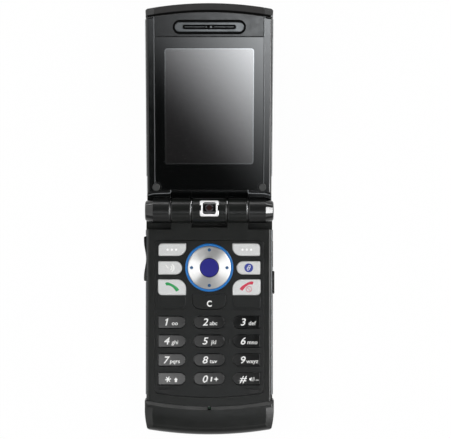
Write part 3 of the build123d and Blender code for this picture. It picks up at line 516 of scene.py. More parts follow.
    # Pad-printed inks: flat, even and matt; the pearl one is the whitest.
    white_ink = Smooth("white_print", "F2F2F0", 0.45)
    pearl_ink = Smooth("pearl_print", "FFFFFF", 0.5)
    green_ink = Smooth("green_print", "149A4E", 0.4)
    red_ink = Smooth("red_print", "CF2A48", 0.4)
    rose_ink = Smooth("rose_print", "D4808A", 0.4)
    blue_ink = Smooth("blue_print", "24389C", 0.4)
    dot_blue = Smooth("blue_dot_print", "14507F", 0.4)


# ---- pieces
class Piece:
    """A piece made in mm, put in its place and given to a body."""

    def __init__(self, name: str) -> None:
        """Start an empty mesh under a name."""
        self.name = name
        self.mesh = bmesh.new()

    def plate(self, outline: Points, z0: float, z1: float, soften: float = 0.0,
              rim: float = 0.0) -> None:
        """Add a flat plate with straight sides, or a ring that follows its outline inside.

        Args:
            outline: Corners of the plate, anticlockwise.
            z0: Lower face.
            z1: Upper face.
            soften: Radius of the plan's corners.
            rim: Width of the ring; 0 for a whole plate.
        """
        tips = [self.mesh.verts.new((x, y, z0)) for x, y in outline]
        middle = self.mesh.faces.new(tips)
        if soften:
            bmesh.ops.bevel(self.mesh, geom=tips, offset=soften, affect="VERTICES",
                            segments=12 if rim else 6, profile=0.5, material=-1)
            middle = max(self.mesh.faces, key=lambda f: f.calc_area())
        faces = [middle]
        if rim:
            faces = bmesh.ops.inset_region(self.mesh, faces=faces, thickness=rim,
                                           use_boundary=True, use_even_offset=True)["faces"]
            bmesh.ops.delete(self.mesh, geom=[middle], context="FACES")
        grown = bmesh.ops.extrude_face_region(self.mesh, geom=faces)
        moved = [g for g in grown["geom"] if isinstance(g, bmesh.types.BMVert)]
        bmesh.ops.translate(self.mesh, verts=moved, vec=(0, 0, z1 - z0))

    def swept(self, near_far: Pair, low_high: Pair, centre_y: float, reach: float) -> None:
        """Add a bar swept about an upright axis on the middle plane.

        Args:
            near_far: Start and end of the bar's section along Y.
            low_high: Lower and upper face.
            centre_y: Place of the axis.
            reach: Half angle of the sweep in degrees.
        """
        (near, far), (low, high) = near_far, low_high
        axis = (0, centre_y, 0)
        section = ((near, low), (far, low), (far, high), (near, high))
        start = [self.mesh.verts.new((0, y, z)) for y, z in section]
        loop = [self.mesh.edges.new((a, b)) for a, b in zip(start, start[1:] + start[:1])]
        bmesh.ops.rotate(self.mesh, verts=start, cent=axis,
                         matrix=Matrix.Rotation(math.radians(-reach), 3, "Z"))
        bmesh.ops.spin(self.mesh, geom=start + loop, cent=axis, axis=(0, 0, 1),
                       angle=math.radians(2 * reach), steps=24, use_merge=False,
                       use_duplicate=False)
        ends = [e for e in self.mesh.edges if e.is_boundary]
        bmesh.ops.holes_fill(self.mesh, edges=ends, sides=4)

    def disc(self, middle: Pair, radius: float, z0: float, z1: float, steps: int) -> None:
        """Add a round plate.

        Args:
            middle: X and Y of its middle.
            radius: Its radius.
            z0: Lower face.
            z1: Upper face.
            steps: Runs round its edge.
        """
        bmesh.ops.create_cone(self.mesh, cap_ends=True, segments=steps, radius1=radius,
                              radius2=radius, depth=z1 - z0,
                              matrix=Matrix.Translation((*middle, (z0 + z1) / 2)))

    def absorb(self, mesh: Mesh, place: Matrix | None = None) -> None:
        """Add another mesh and delete it.

        Args:
            mesh: Mesh in mm.
            place: How it is moved first.
        """
        if place is not None:
            mesh.transform(place)
        self.mesh.from_mesh(mesh)
        bpy.data.meshes.remove(mesh)

    def finish(self, place: Matrix, finish: Finish, body: str, slot: str) -> None:
        """Put the piece in the scene.

        Args:
            place: From mm to the row frame.
            finish: Its finish.
            body: Body that it rides on.
            slot: Material slot of the record that it belongs to; not used.
        """
        bmesh.ops.recalc_face_normals(self.mesh, faces=self.mesh.faces)
        data = bpy.data.meshes.new(self.name)
        self.mesh.to_mesh(data)
        self.mesh.free()
        data.transform(place)
        data.materials.append(finish.material())
        piece = new_object(self.name, data)
        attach(piece, body)
        LOG.info("piece %s on %s: %d faces", self.name, body, len(data.polygons))


def as_mesh(curve: Curve) -> Mesh:
    """Turn a curve or a text into a mesh.

    Args:
        curve: The curve, which is deleted.

    Returns:
        The mesh, in mm.
    """
    holder = new_object("print", curve)
    bpy.context.view_layer.update()
    solid = holder.evaluated_get(bpy.context.evaluated_depsgraph_get())
    mesh = bpy.data.meshes.new_from_object(solid)
    bpy.data.objects.remove(holder)
    bpy.data.curves.remove(curve)
    return mesh


@dataclass(frozen=True)
class Face:
    """Letterform of a line of print.

    Attributes:
        size: Font size in mm.
        slant: Slope of the letters.
        weight: Width that their strokes gain, in mm.
        stretch: How much wider than the font they are.
    """

    size: float
    slant: float
    weight: float
    stretch: float = 1.0

    def mesh(self, text: str) -> Mesh:
        """Make one line of print as a thin mesh, its middle at x = 0.

        Args:
            text: Characters.

        Returns:
            The mesh, in mm.
        """
        font = bpy.data.curves.new("print", "FONT")
        font.body, font.size, font.shear, font.offset = text, self.size, self.slant, self.weight
        font.extrude = PRINT_MM
        font.resolution_u = 3
        mesh = as_mesh(font)
        xs = [v.co.x for v in mesh.vertices]
        mesh.transform(Matrix.Translation((-(min(xs) + max(xs)) / 2, 0, 0)))
        mesh.transform(Matrix.Diagonal((self.stretch, 1, 1, 1)))
        return mesh


@dataclass(frozen=True)
class Stroke:
    """One brush stroke, made as a flattened tube.

    Attributes:
        points: Middle line in mm.
        widths: Width at each point in mm, or one for all of them.
        closed: True for a ring.
        turn: Slope that the finished stroke is given, in degrees.
    """

    points: Points
    widths: Sequence[float] | float
    closed: bool = False
    turn: float = 0.0

    def mesh(self) -> Mesh:
        """Make the stroke.

        Returns:
            The mesh, in mm.
        """
        line = bpy.data.curves.new("stroke", "CURVE")
        line.dimensions = "3D"
        line.bevel_depth = 0.5
        line.bevel_resolution = 2
        line.resolution_u = 5
        line.use_fill_caps = True
        spline = line.splines.new("NURBS")
        spline.points.add(len(self.points) - 1)
        even = isinstance(self.widths, float)
        widths = [self.widths] * len(self.points) if even else self.widths
        for point, (x, y), width in zip(spline.points, self.points, widths):
            point.co = (x, y, 0, 1)
            point.radius = width
        spline.use_cyclic_u = self.closed
        spline.order_u = 3
        spline.use_endpoint_u = not self.closed
        mesh = as_mesh(line)
        highest = max(v.co.z for v in mesh.vertices)
        mesh.transform(Matrix.Diagonal((1, 1, PRINT_MM / highest, 1)))
        mesh.transform(Matrix.Rotation(math.radians(self.turn), 4, "Z"))
        return mesh


def around(radius: float, turns: Sequence[float], squeeze: float = 1.0,
           shift: float = 0.0) -> Points:
    """Points on a circle.

    Args:
        radius: Its radius.
        turns: Place of each point, in radians.
        squeeze: Share of the radius that is left along X.
        shift: Its middle along X.

    Returns:
        The points.
    """
    return [(radius * squeeze * math.cos(t) + shift, radius * math.sin(t)) for t in turns]


# ---- drawn signs
@dataclass(frozen=True)
class Sign:
    """Flat plates, dots and brush strokes that make one sign.

    Attributes:
        plates: Outlines of its solid parts.
        dots: X, Y and radius of its dots.
        steps: Runs round a dot.
        strokes: Its thin parts.
    """

    plates: tuple[Points, ...] = ()
    dots: tuple[tuple[float, float, float], ...] = ()
    steps: int = 20
    strokes: tuple[Stroke, ...] = ()

    def draw(self, piece: Piece) -> None:
        """Add the sign to a piece.

        Args:
            piece: Piece that takes it.
        """
        for outline in self.plates:
            piece.plate(outline, -PRINT_MM, PRINT_MM)
        for x, y, radius in self.dots:
            piece.disc((x, y), radius, -PRINT_MM, PRINT_MM, self.steps)
        for stroke in self.strokes:
            piece.absorb(stroke.mesh())


ROUND = [math.tau / 12 * k for k in range(12)]     # turns of a whole circle
STAR_X, STAR_Y, STAR_ARM = 0.45, 1.15, 1.15        # middle and arm of the star, mm
HANDSET = ((-2.45, 1.1), (-2.05, 1.25), (-0.9, 1.1), (0.7, 0.25), (1.85, -0.9), (2.2, -1.5))
HANDSET_WIDTHS = (1.0, 1.3, 0.95, 0.95, 1.45, 1.25)


class Mark(Enum):
    """Sign that is drawn, because no font has it."""

    # Three crossed strokes above the baseline.
    STAR = Sign(strokes=tuple(
        Stroke(((STAR_X - x, STAR_Y - y), (STAR_X, STAR_Y), (STAR_X + x, STAR_Y + y)),
               (0.34, 0.5, 0.34))
        for x, y in around(STAR_ARM, [math.radians(turn) for turn in (8, 68, 128)])))
    # Longer flag than the font's.
    FLAG = Sign(strokes=(
        Stroke(((-0.62, 1.95), (0.1, 2.2), (0.5, 2.62)), (0.3, 0.36, 0.42)),))
    # Triangle on a short stem.
    ARROW = Sign((((3.05, 0.1), (3.85, 0.1), (3.85, 0.95), (4.25, 0.95), (3.45, 1.85),
                   (2.65, 0.95), (3.05, 0.95)),))
    # Slanted bar and a pointed plus.
    TONE = Sign((((1.9, 0.35), (2.45, 0.35), (2.75, 2.1), (2.15, 2.1)),
                 ((3.15, 1.2), (3.9, 0.9), (4.15, 0.25), (4.4, 0.9), (5.1, 1.2), (4.4, 1.5),
                  (4.15, 2.15), (3.9, 1.5))))
    # Small horn with two waves, and a dash.
    SILENT = Sign((((2.3, 0.85), (2.6, 0.85), (3.05, 0.35), (3.25, 2.0), (2.75, 1.6),
                    (2.35, 1.6)),), strokes=(
        Stroke(((3.5, 0.5), (3.85, 1.2), (3.7, 1.9)), 0.18),
        Stroke(((3.95, 0.4), (4.3, 1.2), (4.15, 2.0)), 0.16),
        Stroke(((4.75, 0.85), (5.3, 0.85), (6.0, 0.85)), 0.2)))
    # A row of dots.
    DOTS = Sign(dots=((-1.65, 0, 0.45), (0, 0, 0.45), (1.65, 0, 0.45)))
    # Short stroke and two waves.
    MENU = Sign(strokes=(
        Stroke(((-1.7, 1.25), (-1.3, 0.4), (-0.7, -0.15)), (0.45, 0.65, 0.4)),
        *(Stroke(around(radius, (-1.1, -0.55, 0.0, 0.55, 1.1), shift=-0.3),
                 (0.4, 0.66, 0.74, 0.66, 0.4)) for radius in (0.9, 1.75))))
    # Ball, and the meridian with a piece of the equator that lie on it.
    BALL = Sign(dots=((0, 0, 1.7),), steps=40)
    NET = Sign(strokes=(
        Stroke(around(1.05, ROUND, squeeze=0.42), 0.22, closed=True, turn=-24),
        Stroke(((-0.75, -0.25), (0, 0.05), (0.75, 0.3)), 0.22)))
    # Handset, and its mirror image.
    CALL = Sign(strokes=(Stroke(HANDSET, HANDSET_WIDTHS),))
    END = Sign(strokes=(Stroke([(-x, y) for x, y in HANDSET], HANDSET_WIDTHS),))
    # Ring with a bar.
    POWER = Sign(strokes=(
        Stroke(around(1.08, ROUND), 0.26, closed=True),
        Stroke(((-0.75, 0.75), (0, 0.0), (0.55, -0.6)), 0.24)))
    # One dot for each way the disc rocks.
    DIRECTIONS = Sign(dots=((6.8, 0, 0.63), (-6.8, 0, 0.63), (0, 6.8, 0.63),
                            (0, -6.8, 0.63)), steps=24)


# ---- sub-assemblies
@dataclass
class NumberKeys:
    """Twelve keys with a slanted digit and small letters or a sign beside it.

    Attributes:
        digit_face: Letterform of the digits.
        letter_face: Letterform of the letters.
        letter_lift: Height of the letters' baseline over the digit's.
        columns: Middle of the digit in each column.
        letter_columns: Middle of the letters in each column.
        first_row: Baseline of the first row.
        pitch: Distance between baselines.
        rows: Key, digit, and letters or sign, row by row.
    """

    digit_face: Face = Face(3.85, 0.22, 0.04, 1.1)
    letter_face: Face = Face(2.2, 0.1, 0.015)
    letter_lift: float = 0.1
    columns: tuple[float, ...] = (-16.25, -1.5, 13.0)
    letter_columns: tuple[float, ...] = (-13.2, 1.6, 16.5)
    first_row: float = -0.85
    pitch: float = 7.27
    rows: tuple[tuple[tuple[str, str | Mark, str | Mark], ...], ...] = (
        (("1", "1", "oo"), ("2", "2", "abc"), ("3", "3", "def")),
        (("4", "4", "ghi"), ("5", "5", "jkl"), ("6", "6", "mno")),
        (("7", "7", "pqrs"), ("8", "8", "tuv"), ("9", "9", "wxyz")),
        (("star", Mark.STAR, Mark.ARROW), ("0", "0", Mark.TONE), ("hash", "#", Mark.SILENT)),
    )

    def build(self) -> None:
        """Print every legend."""
        for r, row in enumerate(self.rows):
            for c, (key, digit, beside) in enumerate(row):
                self.legend(key, digit, beside, c, self.first_row - self.pitch * r)

    def legend(self, key: str, digit: str | Mark, beside: str | Mark, column: int,
               y: float) -> None:
        """Print one key.

        Args:
            key: Name of the key's node after key_.
            digit: Large character or sign.
            beside: Letters or sign beside it.
            column: Column of the key.
            y: Baseline.
        """
        piece = Piece(f"legend_{key}")
        x = self.columns[column]
        if isinstance(digit, Mark):
            digit.value.draw(piece)
        else:
            piece.absorb(self.digit_face.mesh(digit))
        if digit == "1":
            Mark.FLAG.value.draw(piece)
        if isinstance(beside, Mark):
            beside.value.draw(piece)
        else:
            piece.absorb(self.letter_face.mesh(beside), Matrix.Translation(
                (self.letter_columns[column] - x, self.letter_lift, 0)))
        piece.finish(base_place(x, y, KEY_TOP), Palette.white_ink, f"key_{key}", "dark_key")


@dataclass
class FunctionKeys:
    """Silver keys round the disc with generic signs: dots, waves, globe, handsets, power.

    Attributes:
        rows: Piece, its key, ink, sign, X, Y, and layers of print below it.
    """

    rows: tuple[tuple[str, str, Finish, Mark, float, float, int], ...] = (
        ("dots_left", "soft_key_left", Palette.pearl_ink, Mark.DOTS, -14.35, 28.15, 0),
        ("dots_right", "soft_key_right", Palette.pearl_ink, Mark.DOTS, 14.35, 28.15, 0),
        ("menu_sign", "menu_key", Palette.white_ink, Mark.MENU, -14.95, 21.2, 0),
        ("globe_ball", "browser_key", Palette.blue_ink, Mark.BALL, 15.1, 21.2, 0),
        ("globe_lines", "browser_key", Palette.white_ink, Mark.NET, 15.1, 21.2, 1),
        ("call_sign", "call_key", Palette.green_ink, Mark.CALL, -14.3, 13.85, 0),
        ("end_sign", "end_key", Palette.red_ink, Mark.END, 14.35, 14.2, 0),
        ("power_sign", "end_key", Palette.rose_ink, Mark.POWER, 15.15, 13.0, 1),
    )

    def build(self) -> None:
        """Print every sign."""
        for name, key, ink, mark, x, y, layer in self.rows:
            piece = Piece(name)
            mark.value.draw(piece)
            piece.finish(base_place(x, y, KEY_TOP + layer * PRINT_MM), ink, key, "silver_key")


@dataclass
class NavigationPad:
    """Four blue dots on the spun disc and the letter on the clear key.

    Attributes:
        disc_top: Upper face of the disc.
        clear_face: Letterform of the letter.
        clear_y: Its baseline.
    """

    disc_top: float = 11.4
    clear_face: Face = Face(3.15, 0.0, 0.1, 0.88)
    clear_y: float = 6.4

    def build(self) -> None:
        """Print the dots and the letter."""
        dots = Piece("direction_dots")
        Mark.DIRECTIONS.value.draw(dots)
        dots.finish(base_place(0, NAV_Y, self.disc_top), Palette.dot_blue, "nav_disc",
                    "brushed_disc")
        clear = Piece("clear_letter")
        clear.absorb(self.clear_face.mesh("C"))
        clear.finish(base_place(0, self.clear_y, KEY_TOP), Palette.white_ink, "clear_key",
                     "dark_key")


@dataclass(frozen=True)
class Inlay:
    """Flat plate or ring let into the lid, in mm from the hinge axis.

    Attributes:
        name: Name of the piece.
        finish: Its finish.
        slot: Material slot of the record that it belongs to.
        low: Corner with the smallest X and Y.
        high: The opposite corner.
        z: Lower and upper face.
        soften: Radius of its corners.
        rim: Width of the ring; 0 for a whole plate.
    """

    name: str
    finish: Finish
    slot: str
    low: Pair
    high: Pair
    z: Pair
    soften: float = 0.0
    rim: float = 0.0

    def build(self) -> None:
        """Lay it in the lid."""
        (x0, y0), (x1, y1) = self.low, self.high
        piece = Piece(self.name)
        piece.plate(((x0, y0), (x1, y0), (x1, y1), (x0, y1)), *self.z, self.soften, self.rim)
        piece.finish(lid_place(), self.finish, "lid", self.slot)


@dataclass
class Earpiece:
    """Cloth and bridge in the sound slot, and the gasket round the insert.

    Attributes:
        in_slot: Cloth behind the slot, and the cap on the slot's bridge.
        pins: X and radius of the bright pins on the bridge.
        pin_y: Their middle, from the hinge axis.
        pin_z: Their lower and upper face.
        gasket: Ring in the panel's recess.
    """

    in_slot: tuple[Inlay, ...] = (
        Inlay("sound_cloth", Palette.black_rubber, "grey_insert", (-10.0, 69.3), (10.0, 70.9),
              (-1.88, -1.8), 0.79),
        Inlay("sound_bridge_cap", Palette.black_rubber, "grey_insert", (-1.75, 69.26),
              (1.75, 70.94), (-1.1, -0.98)),
    )
    pins: Points = ((-1.15, 0.3), (0.62, 0.42))
    pin_y: float = 70.1
    pin_z: Pair = (-1.0, -0.7)
    gasket: Inlay = Inlay("earpiece_gasket", Palette.black_rubber, "rubber", (-13.72, 67.38),
                          (13.72, 72.82), (-1.98, -0.41), 2.71, 0.72)

    def build(self) -> None:
        """Lay cloth, bridge and pins in the slot and the gasket in the recess."""
        for inlay in self.in_slot:
            inlay.build()
        pins = Piece("sound_bridge_pins")
        for x, radius in self.pins:
            pins.disc((x, self.pin_y), radius, *self.pin_z, steps=20)
        pins.finish(lid_place(), Palette.slate, "lid", "grey_insert")
        self.gasket.build()


@dataclass
class LidEdges:
    """Seal in the joint below the tip, and the hairlines round the lid's panels.

    Attributes:
        arch_radius: Plan radius of the tip's arch.
        joint: Start and end of the joint at mid width, from the hinge axis.
        seal_z: Lower and upper face of the seal.
        reach: Half angle of the seal about the arch's middle, in degrees.
        highlight_line_x: Near and far side of the painted highlight line right of the display.
        highlight_line_y: Its start and end.
        highlight_line_z: Its lower and upper face.
        root_highlight_line: Middle line of the painted highlight along the lid's root, right side.
        root_width: Its width.
        root_z: Its height over the hinge axis, with the lid flat.
    """

    arch_radius: float = 132.0
    joint: Pair = (75.62, 76.38)
    seal_z: Pair = (-2.9, -0.95)
    reach: float = 10.1
    highlight_line_x: Pair = (20.69, 20.87)
    highlight_line_y: Pair = (9.5, 74.0)
    highlight_line_z: Pair = (-0.6, -0.38)
    root_highlight_line: Points = ((14.8, 8.1), (14.75, 7.2), (15.05, 6.76), (17.5, 6.74), (20.5, 6.7),
                         (22.4, 6.4), (23.4, 6.0))
    root_width: float = 0.4
    root_z: float = -0.4

    def build(self) -> None:
        """Make the seal and the painted highlight lines."""
        seal = Piece("tip_seal")
        seal.swept(self.joint, self.seal_z, self.joint[1] - self.arch_radius, self.reach)
        seal.finish(lid_place(), Palette.black_rubber, "lid", "rubber")
        # Pale strips that paint the highlights of the panel edges and the root.
        root_place = lid_place() @ Matrix.Translation((0, 0, self.root_z))
        for name, side in (("left", -1), ("right", 1)):
            near, far = sorted(side * x for x in self.highlight_line_x)
            Inlay(f"painted_panel_highlight_{name}", Palette.painted_edge_line, "black_plastic",
                  (near, self.highlight_line_y[0]), (far, self.highlight_line_y[1]), self.highlight_line_z).build()
            root = Piece(f"painted_root_highlight_{name}")
            root.absorb(Stroke([(side * x, y) for x, y in self.root_highlight_line],
                               self.root_width).mesh())
            root.finish(root_place, Palette.painted_edge_line, "lid", "black_plastic")


@dataclass
class PaintedKnuckleGlints:
    """Pale arcs on the bevels of the base's knuckles that paint their highlights.

    Attributes:
        arcs: X, greatest width and radius about the hinge axis of each arc.
        reach: First and last place of an arc across the barrel, from the hinge axis.
        steps: Runs along an arc.
        thin: Width of its pointed ends.
    """

    arcs: tuple[tuple[float, float, float], ...] = ((-7.16, 0.5, 4.47), (14.1, 0.8, 4.62))
    reach: Pair = (-1.3, 3.6)
    steps: int = 8
    thin: float = 0.02

    def build(self) -> None:
        """Lay each arc on its bevel."""
        (low, high), steps = self.reach, self.steps
        for number, (x, width, radius) in enumerate(self.arcs):
            mesh = Stroke([(x, low + (high - low) * k / steps) for k in range(steps + 1)],
                          [self.thin + width * math.sin(math.pi * k / steps)
                           for k in range(steps + 1)]).mesh()
            for vertex in mesh.vertices:
                vertex.co.z += math.sqrt(radius ** 2 - vertex.co.y ** 2)
            arc = Piece(f"painted_knuckle_glint_{number}")
            arc.absorb(mesh)
            arc.finish(base_place(0, HINGE_Y, HINGE_Z), Palette.painted_glint, "base",
                       "black_plastic")


@dataclass
class CameraEye:
    """Lens ring and lens seen through the camera's window, coloured to paint the lens's glint and
    a highlight at its rim.

    Attributes:
        turn: Rest angle of the camera barrel in degrees.
        low: Distance of their lower faces from the hinge axis.
        rows: Piece, radius, distance of its upper face from the hinge axis, and finish.
    """

    turn: float = -14.5
    low: float = 4.16
    rows: tuple[tuple[str, float, float, Finish], ...] = (
        ("lens_ring", 1.55, 4.56, Palette.lens_ring), ("lens_glass", 1.05, 4.57, Palette.lens))

    def build(self) -> None:
        """Lay both on the window's crown."""
        for name, radius, high, finish in self.rows:
            eye = Piece(name)
            eye.disc((0, 0), radius, self.low, high, steps=40)
            eye.finish(hinge_place(self.turn), finish, "camera", "lens_black")


@dataclass
class Display:
    """The picture area seen through the cover, with its pale foil edge.

    Attributes:
        inlays: Foil edge and picture area, each a hair over the cover.
    """

    inlays: tuple[Inlay, ...] = (
        Inlay("display_edge", Palette.foil_edge, "display_panel", (-16.8, 18.05), (16.8, 62.1),
              (-0.61, -0.588), 1.1),
        Inlay("display_picture", Palette.crystal, "display_panel", (-16.48, 18.37),
              (16.48, 61.78), (-0.61, -0.58), 0.78),
    )

    def build(self) -> None:
        """Lay both on the cover."""
        for inlay in self.inlays:
            inlay.build()


# ---- dress of the frame
NODE_FINISHES: dict[str, tuple[str, ...]] = {
    "shell": ("base_front_housing", "base_rear_housing", "camera_barrel", "chin_cover"),
    "tip": ("lid_end_cap",),
    "rail": ("lid_inner_frame", "side_key", "volume_rocker"),
    "satin": ("earpiece_panel",),
    "lacquer": ("lid_outer_cover",),
    "acrylic": ("display_glass",),
    "plate": ("keypad_panel", "clear_key"),
    "key": tuple(f"key_{name}" for name in (*"123456789", "star", "0", "hash")),
    "silver": ("soft_key_left", "soft_key_right", "menu_key", "browser_key", "call_key",
               "end_key"),
    "spun": ("nav_disc",),
    "blue": ("nav_halo",),
    "violet": ("centre_key",),
    "strip": ("base_side_trims", "lid_side_trims"),
    "chrome": ("camera_bezel",),
    "smoked": ("camera_window", "outer_window"),
    "slate": ("earpiece_insert",),
    "rubber": ("lid_bumpers", "connector_flap", "nav_actuator"),
    "stop": ("keypad_stops",),
    "cover": ("battery_cover",),
    "board": ("main_board",),
    "dome": ("dome_sheet",),
    "sleeve": ("battery",),
    "steel": ("sim_holder", "base_screws", "hinge_module", "hinge_pins", "vibration_motor",
              "charging_socket"),
    "cloth": ("loudspeaker", "earpiece_speaker", "antenna_element", "camera_module"),
    "crystal": ("display_module", "outer_display"),
}


def dress(nodes: dict[str, Object]) -> None:
    """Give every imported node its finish.

    Args:
        nodes: The frame's nodes by name.
    """
    for finish_name, names in NODE_FINISHES.items():
        material = getattr(Palette, finish_name).material()
        for name in names:
            slots = nodes[name].data.materials
            slots.clear()
            slots.append(material)
        LOG.info("finish %s on %d nodes", finish_name, len(names))


# ---- studio
def flat_object(name: str, place: Matrix) -> Object:
    """Put one flat square, two units wide before its place is applied, in the scene.

    Args:
        name: Name of the object.
        place: Its place and size.

    Returns:
        The new object.
    """
    mesh = bmesh.new()
    bmesh.ops.create_grid(mesh, x_segments=1, y_segments=1, size=1.0, matrix=place)
    data = bpy.data.meshes.new(name)
    mesh.to_mesh(data)
    mesh.free()
    return new_object(name, data)


class Reach(Enum):
    """What a light shines on."""

    ALL = "everything"
    MIRRORS = "mirrors only, for a glint without more light"
    MATTE = "matte surfaces only, for more light without a glint"


@dataclass(frozen=True)
class Softbox:
    """One rectangular light that faces the phone.

    Attributes:
        name: Name of the light.
        place: Its middle in metres.
        size: Length along the horizon and height, in metres.
        watts: Power.
        roll: Turn about its own axis in degrees.
        reach: What it shines on.
        aim: Point that it faces.
    """

    name: str
    place: tuple[float, float, float]
    size: Pair
    watts: float
    roll: float = 0.0
    reach: Reach = Reach.ALL
    aim: tuple[float, float, float] = (0, 0.04, 0.01)

    def build(self) -> None:
        """Hang the light."""
        light = bpy.data.lights.new(self.name, "AREA")
        light.shape = "RECTANGLE"
        light.size, light.size_y = self.size
        light.energy = self.watts
        lamp = new_object(self.name, light)
        turn = (Vector(self.aim) - Vector(self.place)).to_track_quat("-Z", "Y").to_matrix()
        roll = Matrix.Rotation(math.radians(self.roll), 3, "Z")
        lamp.location = self.place
        lamp.rotation_euler = (turn @ roll).to_euler()
        lamp.visible_camera = False
        lamp.visible_diffuse = self.reach is not Reach.MIRRORS
        lamp.visible_glossy = self.reach is not Reach.MATTE


@dataclass(frozen=True)
class GradedCard:
    """Glowing card above the phone whose brightness is the square of a slope across it.

    Attributes:
        name: Name of the card.
        low: Corner with the smallest X and Y, in metres.
        high: The opposite corner.
        slope: Rise of the root of brightness per metre, along X and Y.
        level: Root of brightness under the origin.
        peak: Largest root of brightness.
        colour: Light's colour, sRGB hex.
        height: Height of the card.
    """

    name: str
    low: Pair
    high: Pair
    slope: Pair
    level: float
    peak: float
    colour: str
    height: float = 2.0

    def build(self) -> None:
        """Hang the card, unseen by the camera."""
        middle = [(a + b) / 2 for a, b in zip(self.low, self.high)]
        half = [(b - a) / 2 for a, b in zip(self.low, self.high)]
        card = flat_object(self.name, Matrix.Translation((*middle, self.height))
                           @ Matrix.Diagonal((*half, 1, 1)))
        card.visible_camera = False
        paint = new_material(self.name + "_light")
        tree = paint.node_tree
        coords = add_node(tree, "TexCoord")
        rise = add_node(tree, "VectorMath", {"operation": "DOT_PRODUCT"}, {
            0: coords.outputs["Object"], 1: (*self.slope, self.level / self.height)})
        root = add_node(tree, "Clamp", inputs={
            "Value": rise.outputs["Value"], "Min": 0.0, "Max": self.peak})
        level = add_node(tree, "Math", {"operation": "POWER"}, {0: root.outputs[0], 1: 2.0})
        glow = add_node(tree, "Emission", inputs={
            "Color": linear(self.colour), "Strength": level.outputs[0]})
        tree.links.new(glow.outputs[0], tree.nodes["Material Output"].inputs["Surface"])
        card.data.materials.append(paint)


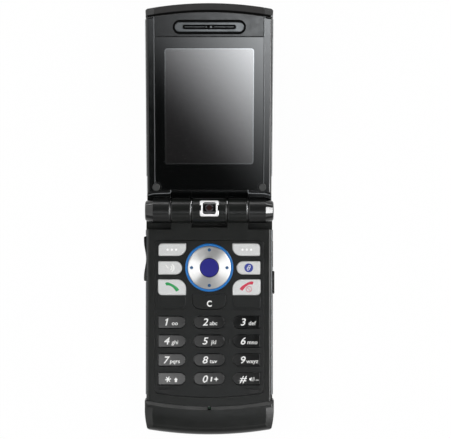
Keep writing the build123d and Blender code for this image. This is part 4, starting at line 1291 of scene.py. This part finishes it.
@dataclass
class Studio:
    """White table, soft side lights, graded cards above and the camera over the hinge.

    Attributes:
        camera_mm: Place of the camera.
        lens: Focal length in mm on a 36 mm sensor.
        shift: Sideways shift, as a share of the sensor's width.
        table_half: Half width of the table in metres.
        table_drop: How far the table lies below the phone's back, in metres.
        table_white: Brightness of its paint, linear.
        table_glow: Share of the table that glows for the camera and for mirrors.
        room: Height over which the room darkens, and its brightness below and above.
        band: Height over which the white backdrop fades out, and its brightness.
        behind: Depth over which the backdrop sets in, and its share before and behind.
        lights: Softboxes round the phone.
        cards: Graded cards: one that the lid mirrors, one that the keys mirror.
    """

    camera_mm: tuple[float, float, float] = (0.0, 39.7, 611.0)
    lens: float = 125.0
    shift: float = 0.0359
    table_half: float = 3.0
    table_drop: float = 0.0002
    table_white: float = 0.95
    table_glow: float = 0.97
    room: Ends = (0.3, 0.92, 0.4, 0.06)
    band: Ends = (0.1, 0.5, 1.0, 0.0)
    behind: Ends = (-0.95, -0.5, 0.3, 1.0)
    lights: tuple[Softbox, ...] = (
        Softbox("left_softbox", (-0.95, 0.2, 0.95), (3.0, 0.8), 11.0),
        Softbox("right_softbox", (0.95, -0.15, 0.95), (3.0, 0.8), 10.0),
        Softbox("right_glint", (0.84, 0.1, 0.98), (1.4, 0.18), 18.0, roll=-14.0,
                reach=Reach.MIRRORS),
        Softbox("low_glint", (1.2, 0.2, 0.7), (1.6, 0.26), 12.0, reach=Reach.MIRRORS),
        Softbox("back_strip", (0.0, 1.35, 0.3), (1.8, 0.16), 5.2),
        Softbox("front_softbox", (0.0, -1.0, 1.0), (2.0, 0.5), 2.2),
        Softbox("overhead_fill", (0.0, 0.1, 1.6), (1.2, 1.2), 4.8, reach=Reach.MATTE),
    )
    cards: tuple[GradedCard, ...] = (
        GradedCard("lid_card", (-0.15, -0.82), (0.21, -0.42), (9.8, 7.9), 5.86, 4.0, "F8FCFF"),
        GradedCard("key_card", (-0.16, -0.34), (0.12, -0.06), (-9.5, -5.5), 0.05, 2.3,
                   "FFFFFF"),
    )

    def build(self) -> None:
        """Set up floor, lights, world and camera."""
        self.floor()
        self.world()
        for lamp in (*self.lights, *self.cards):
            lamp.build()
        self.camera()
        bpy.context.scene.view_settings.view_transform = "Standard"

    def backdrop_rays(self, tree: NodeTree) -> NodeSocket:
        """Tell rays that see the backdrop from rays that light the phone.

        Args:
            tree: Node tree that asks.

        Returns:
            A socket that gives 1 for rays of the camera, of mirrors and of glass.
        """
        path = add_node(tree, "LightPath")
        mirror = add_node(tree, "Math", {"operation": "MAXIMUM"}, {
            0: path.outputs["Is Glossy Ray"], 1: path.outputs["Is Transmission Ray"]})
        seen = add_node(tree, "Math", {"operation": "MAXIMUM"}, {
            0: path.outputs["Is Camera Ray"], 1: mirror.outputs[0]})
        return seen.outputs[0]

    def floor(self) -> None:
        """Lay a pale table that keeps the phone's soft shadow."""
        table = flat_object("table_top", Matrix.Translation((0, 0, -self.table_drop))
                            @ Matrix.Diagonal((self.table_half, self.table_half, 1, 1)))
        paint = new_material("white_table_paint")
        tree = paint.node_tree
        shader = tree.nodes["Principled BSDF"]
        shader.inputs["Base Color"].default_value = (*[self.table_white] * 3, 1)
        shader.inputs["Roughness"].default_value = 0.9
        glow = add_node(tree, "Emission", inputs={"Color": (1, 1, 1, 1), "Strength": 1.0})
        share = add_node(tree, "Math", {"operation": "MULTIPLY"},
                         {0: self.backdrop_rays(tree), 1: self.table_glow})
        mix = add_node(tree, "MixShader", inputs={
            0: share.outputs[0], 1: shader.outputs[0], 2: glow.outputs[0]})
        tree.links.new(mix.outputs[0], tree.nodes["Material Output"].inputs["Surface"])
        table.data.materials.append(paint)

    def world(self) -> None:
        """Make a dim room, darker overhead, with a white backdrop all round the table."""
        world = bpy.data.worlds.new("studio_room")
        bpy.context.scene.world = world
        world.use_nodes = True
        tree = world.node_tree
        background = tree.nodes["Background"]
        coords = add_node(tree, "TexCoord")
        axes = add_node(tree, "SeparateXYZ", inputs={0: coords.outputs["Generated"]})
        room, band, behind = (
            add_node(tree, "MapRange", {"interpolation_type": "SMOOTHSTEP"},
                     {"Value": axes.outputs[axis], **dict(zip(RAMP, ends))}).outputs["Result"]
            for axis, ends in (("Z", self.room), ("Z", self.band), ("Y", self.behind)))
        backdrop = add_node(tree, "Math", {"operation": "MULTIPLY"}, {0: band, 1: behind})
        mirrored = add_node(tree, "Math", {"operation": "MULTIPLY"}, {
            0: backdrop.outputs[0], 1: self.backdrop_rays(tree)})
        level = add_node(tree, "Math", {"operation": "MAXIMUM"}, {0: room, 1: mirrored.outputs[0]})
        path = add_node(tree, "LightPath")
        seen = add_node(tree, "Mix", {"data_type": "FLOAT"}, {
            0: path.outputs["Is Camera Ray"], 2: level.outputs[0], 3: 1.0})
        tree.links.new(seen.outputs[0], background.inputs["Strength"])
        background.inputs["Color"].default_value = (1, 1, 1, 1)

    def camera(self) -> None:
        """Look straight down from above the hinge."""
        data = bpy.data.cameras.new("camera")
        data.lens = self.lens
        data.sensor_width = 36.0
        data.shift_x = self.shift
        data.clip_start = 0.01
        camera = new_object("camera", data)
        camera.location = Vector(self.camera_mm) * MM
        bpy.context.scene.camera = camera


# ---- the whole phone
ASSEMBLIES: tuple[type, ...] = (NumberKeys, FunctionKeys, NavigationPad, Earpiece, LidEdges,
                                PaintedKnuckleGlints, CameraEye, Display)


def main() -> None:
    """Build the phone's looks round the frame."""
    logging.basicConfig(level=logging.INFO, format="%(message)s")
    for leftover in list(bpy.data.objects):
        bpy.data.objects.remove(leftover)
    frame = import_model()
    dress(frame["nodes"])
    for assembly in ASSEMBLIES:
        assembly().build()
        LOG.info("built %s", assembly.__name__)
    Studio().build()


if __name__ == "__main__":
    main()
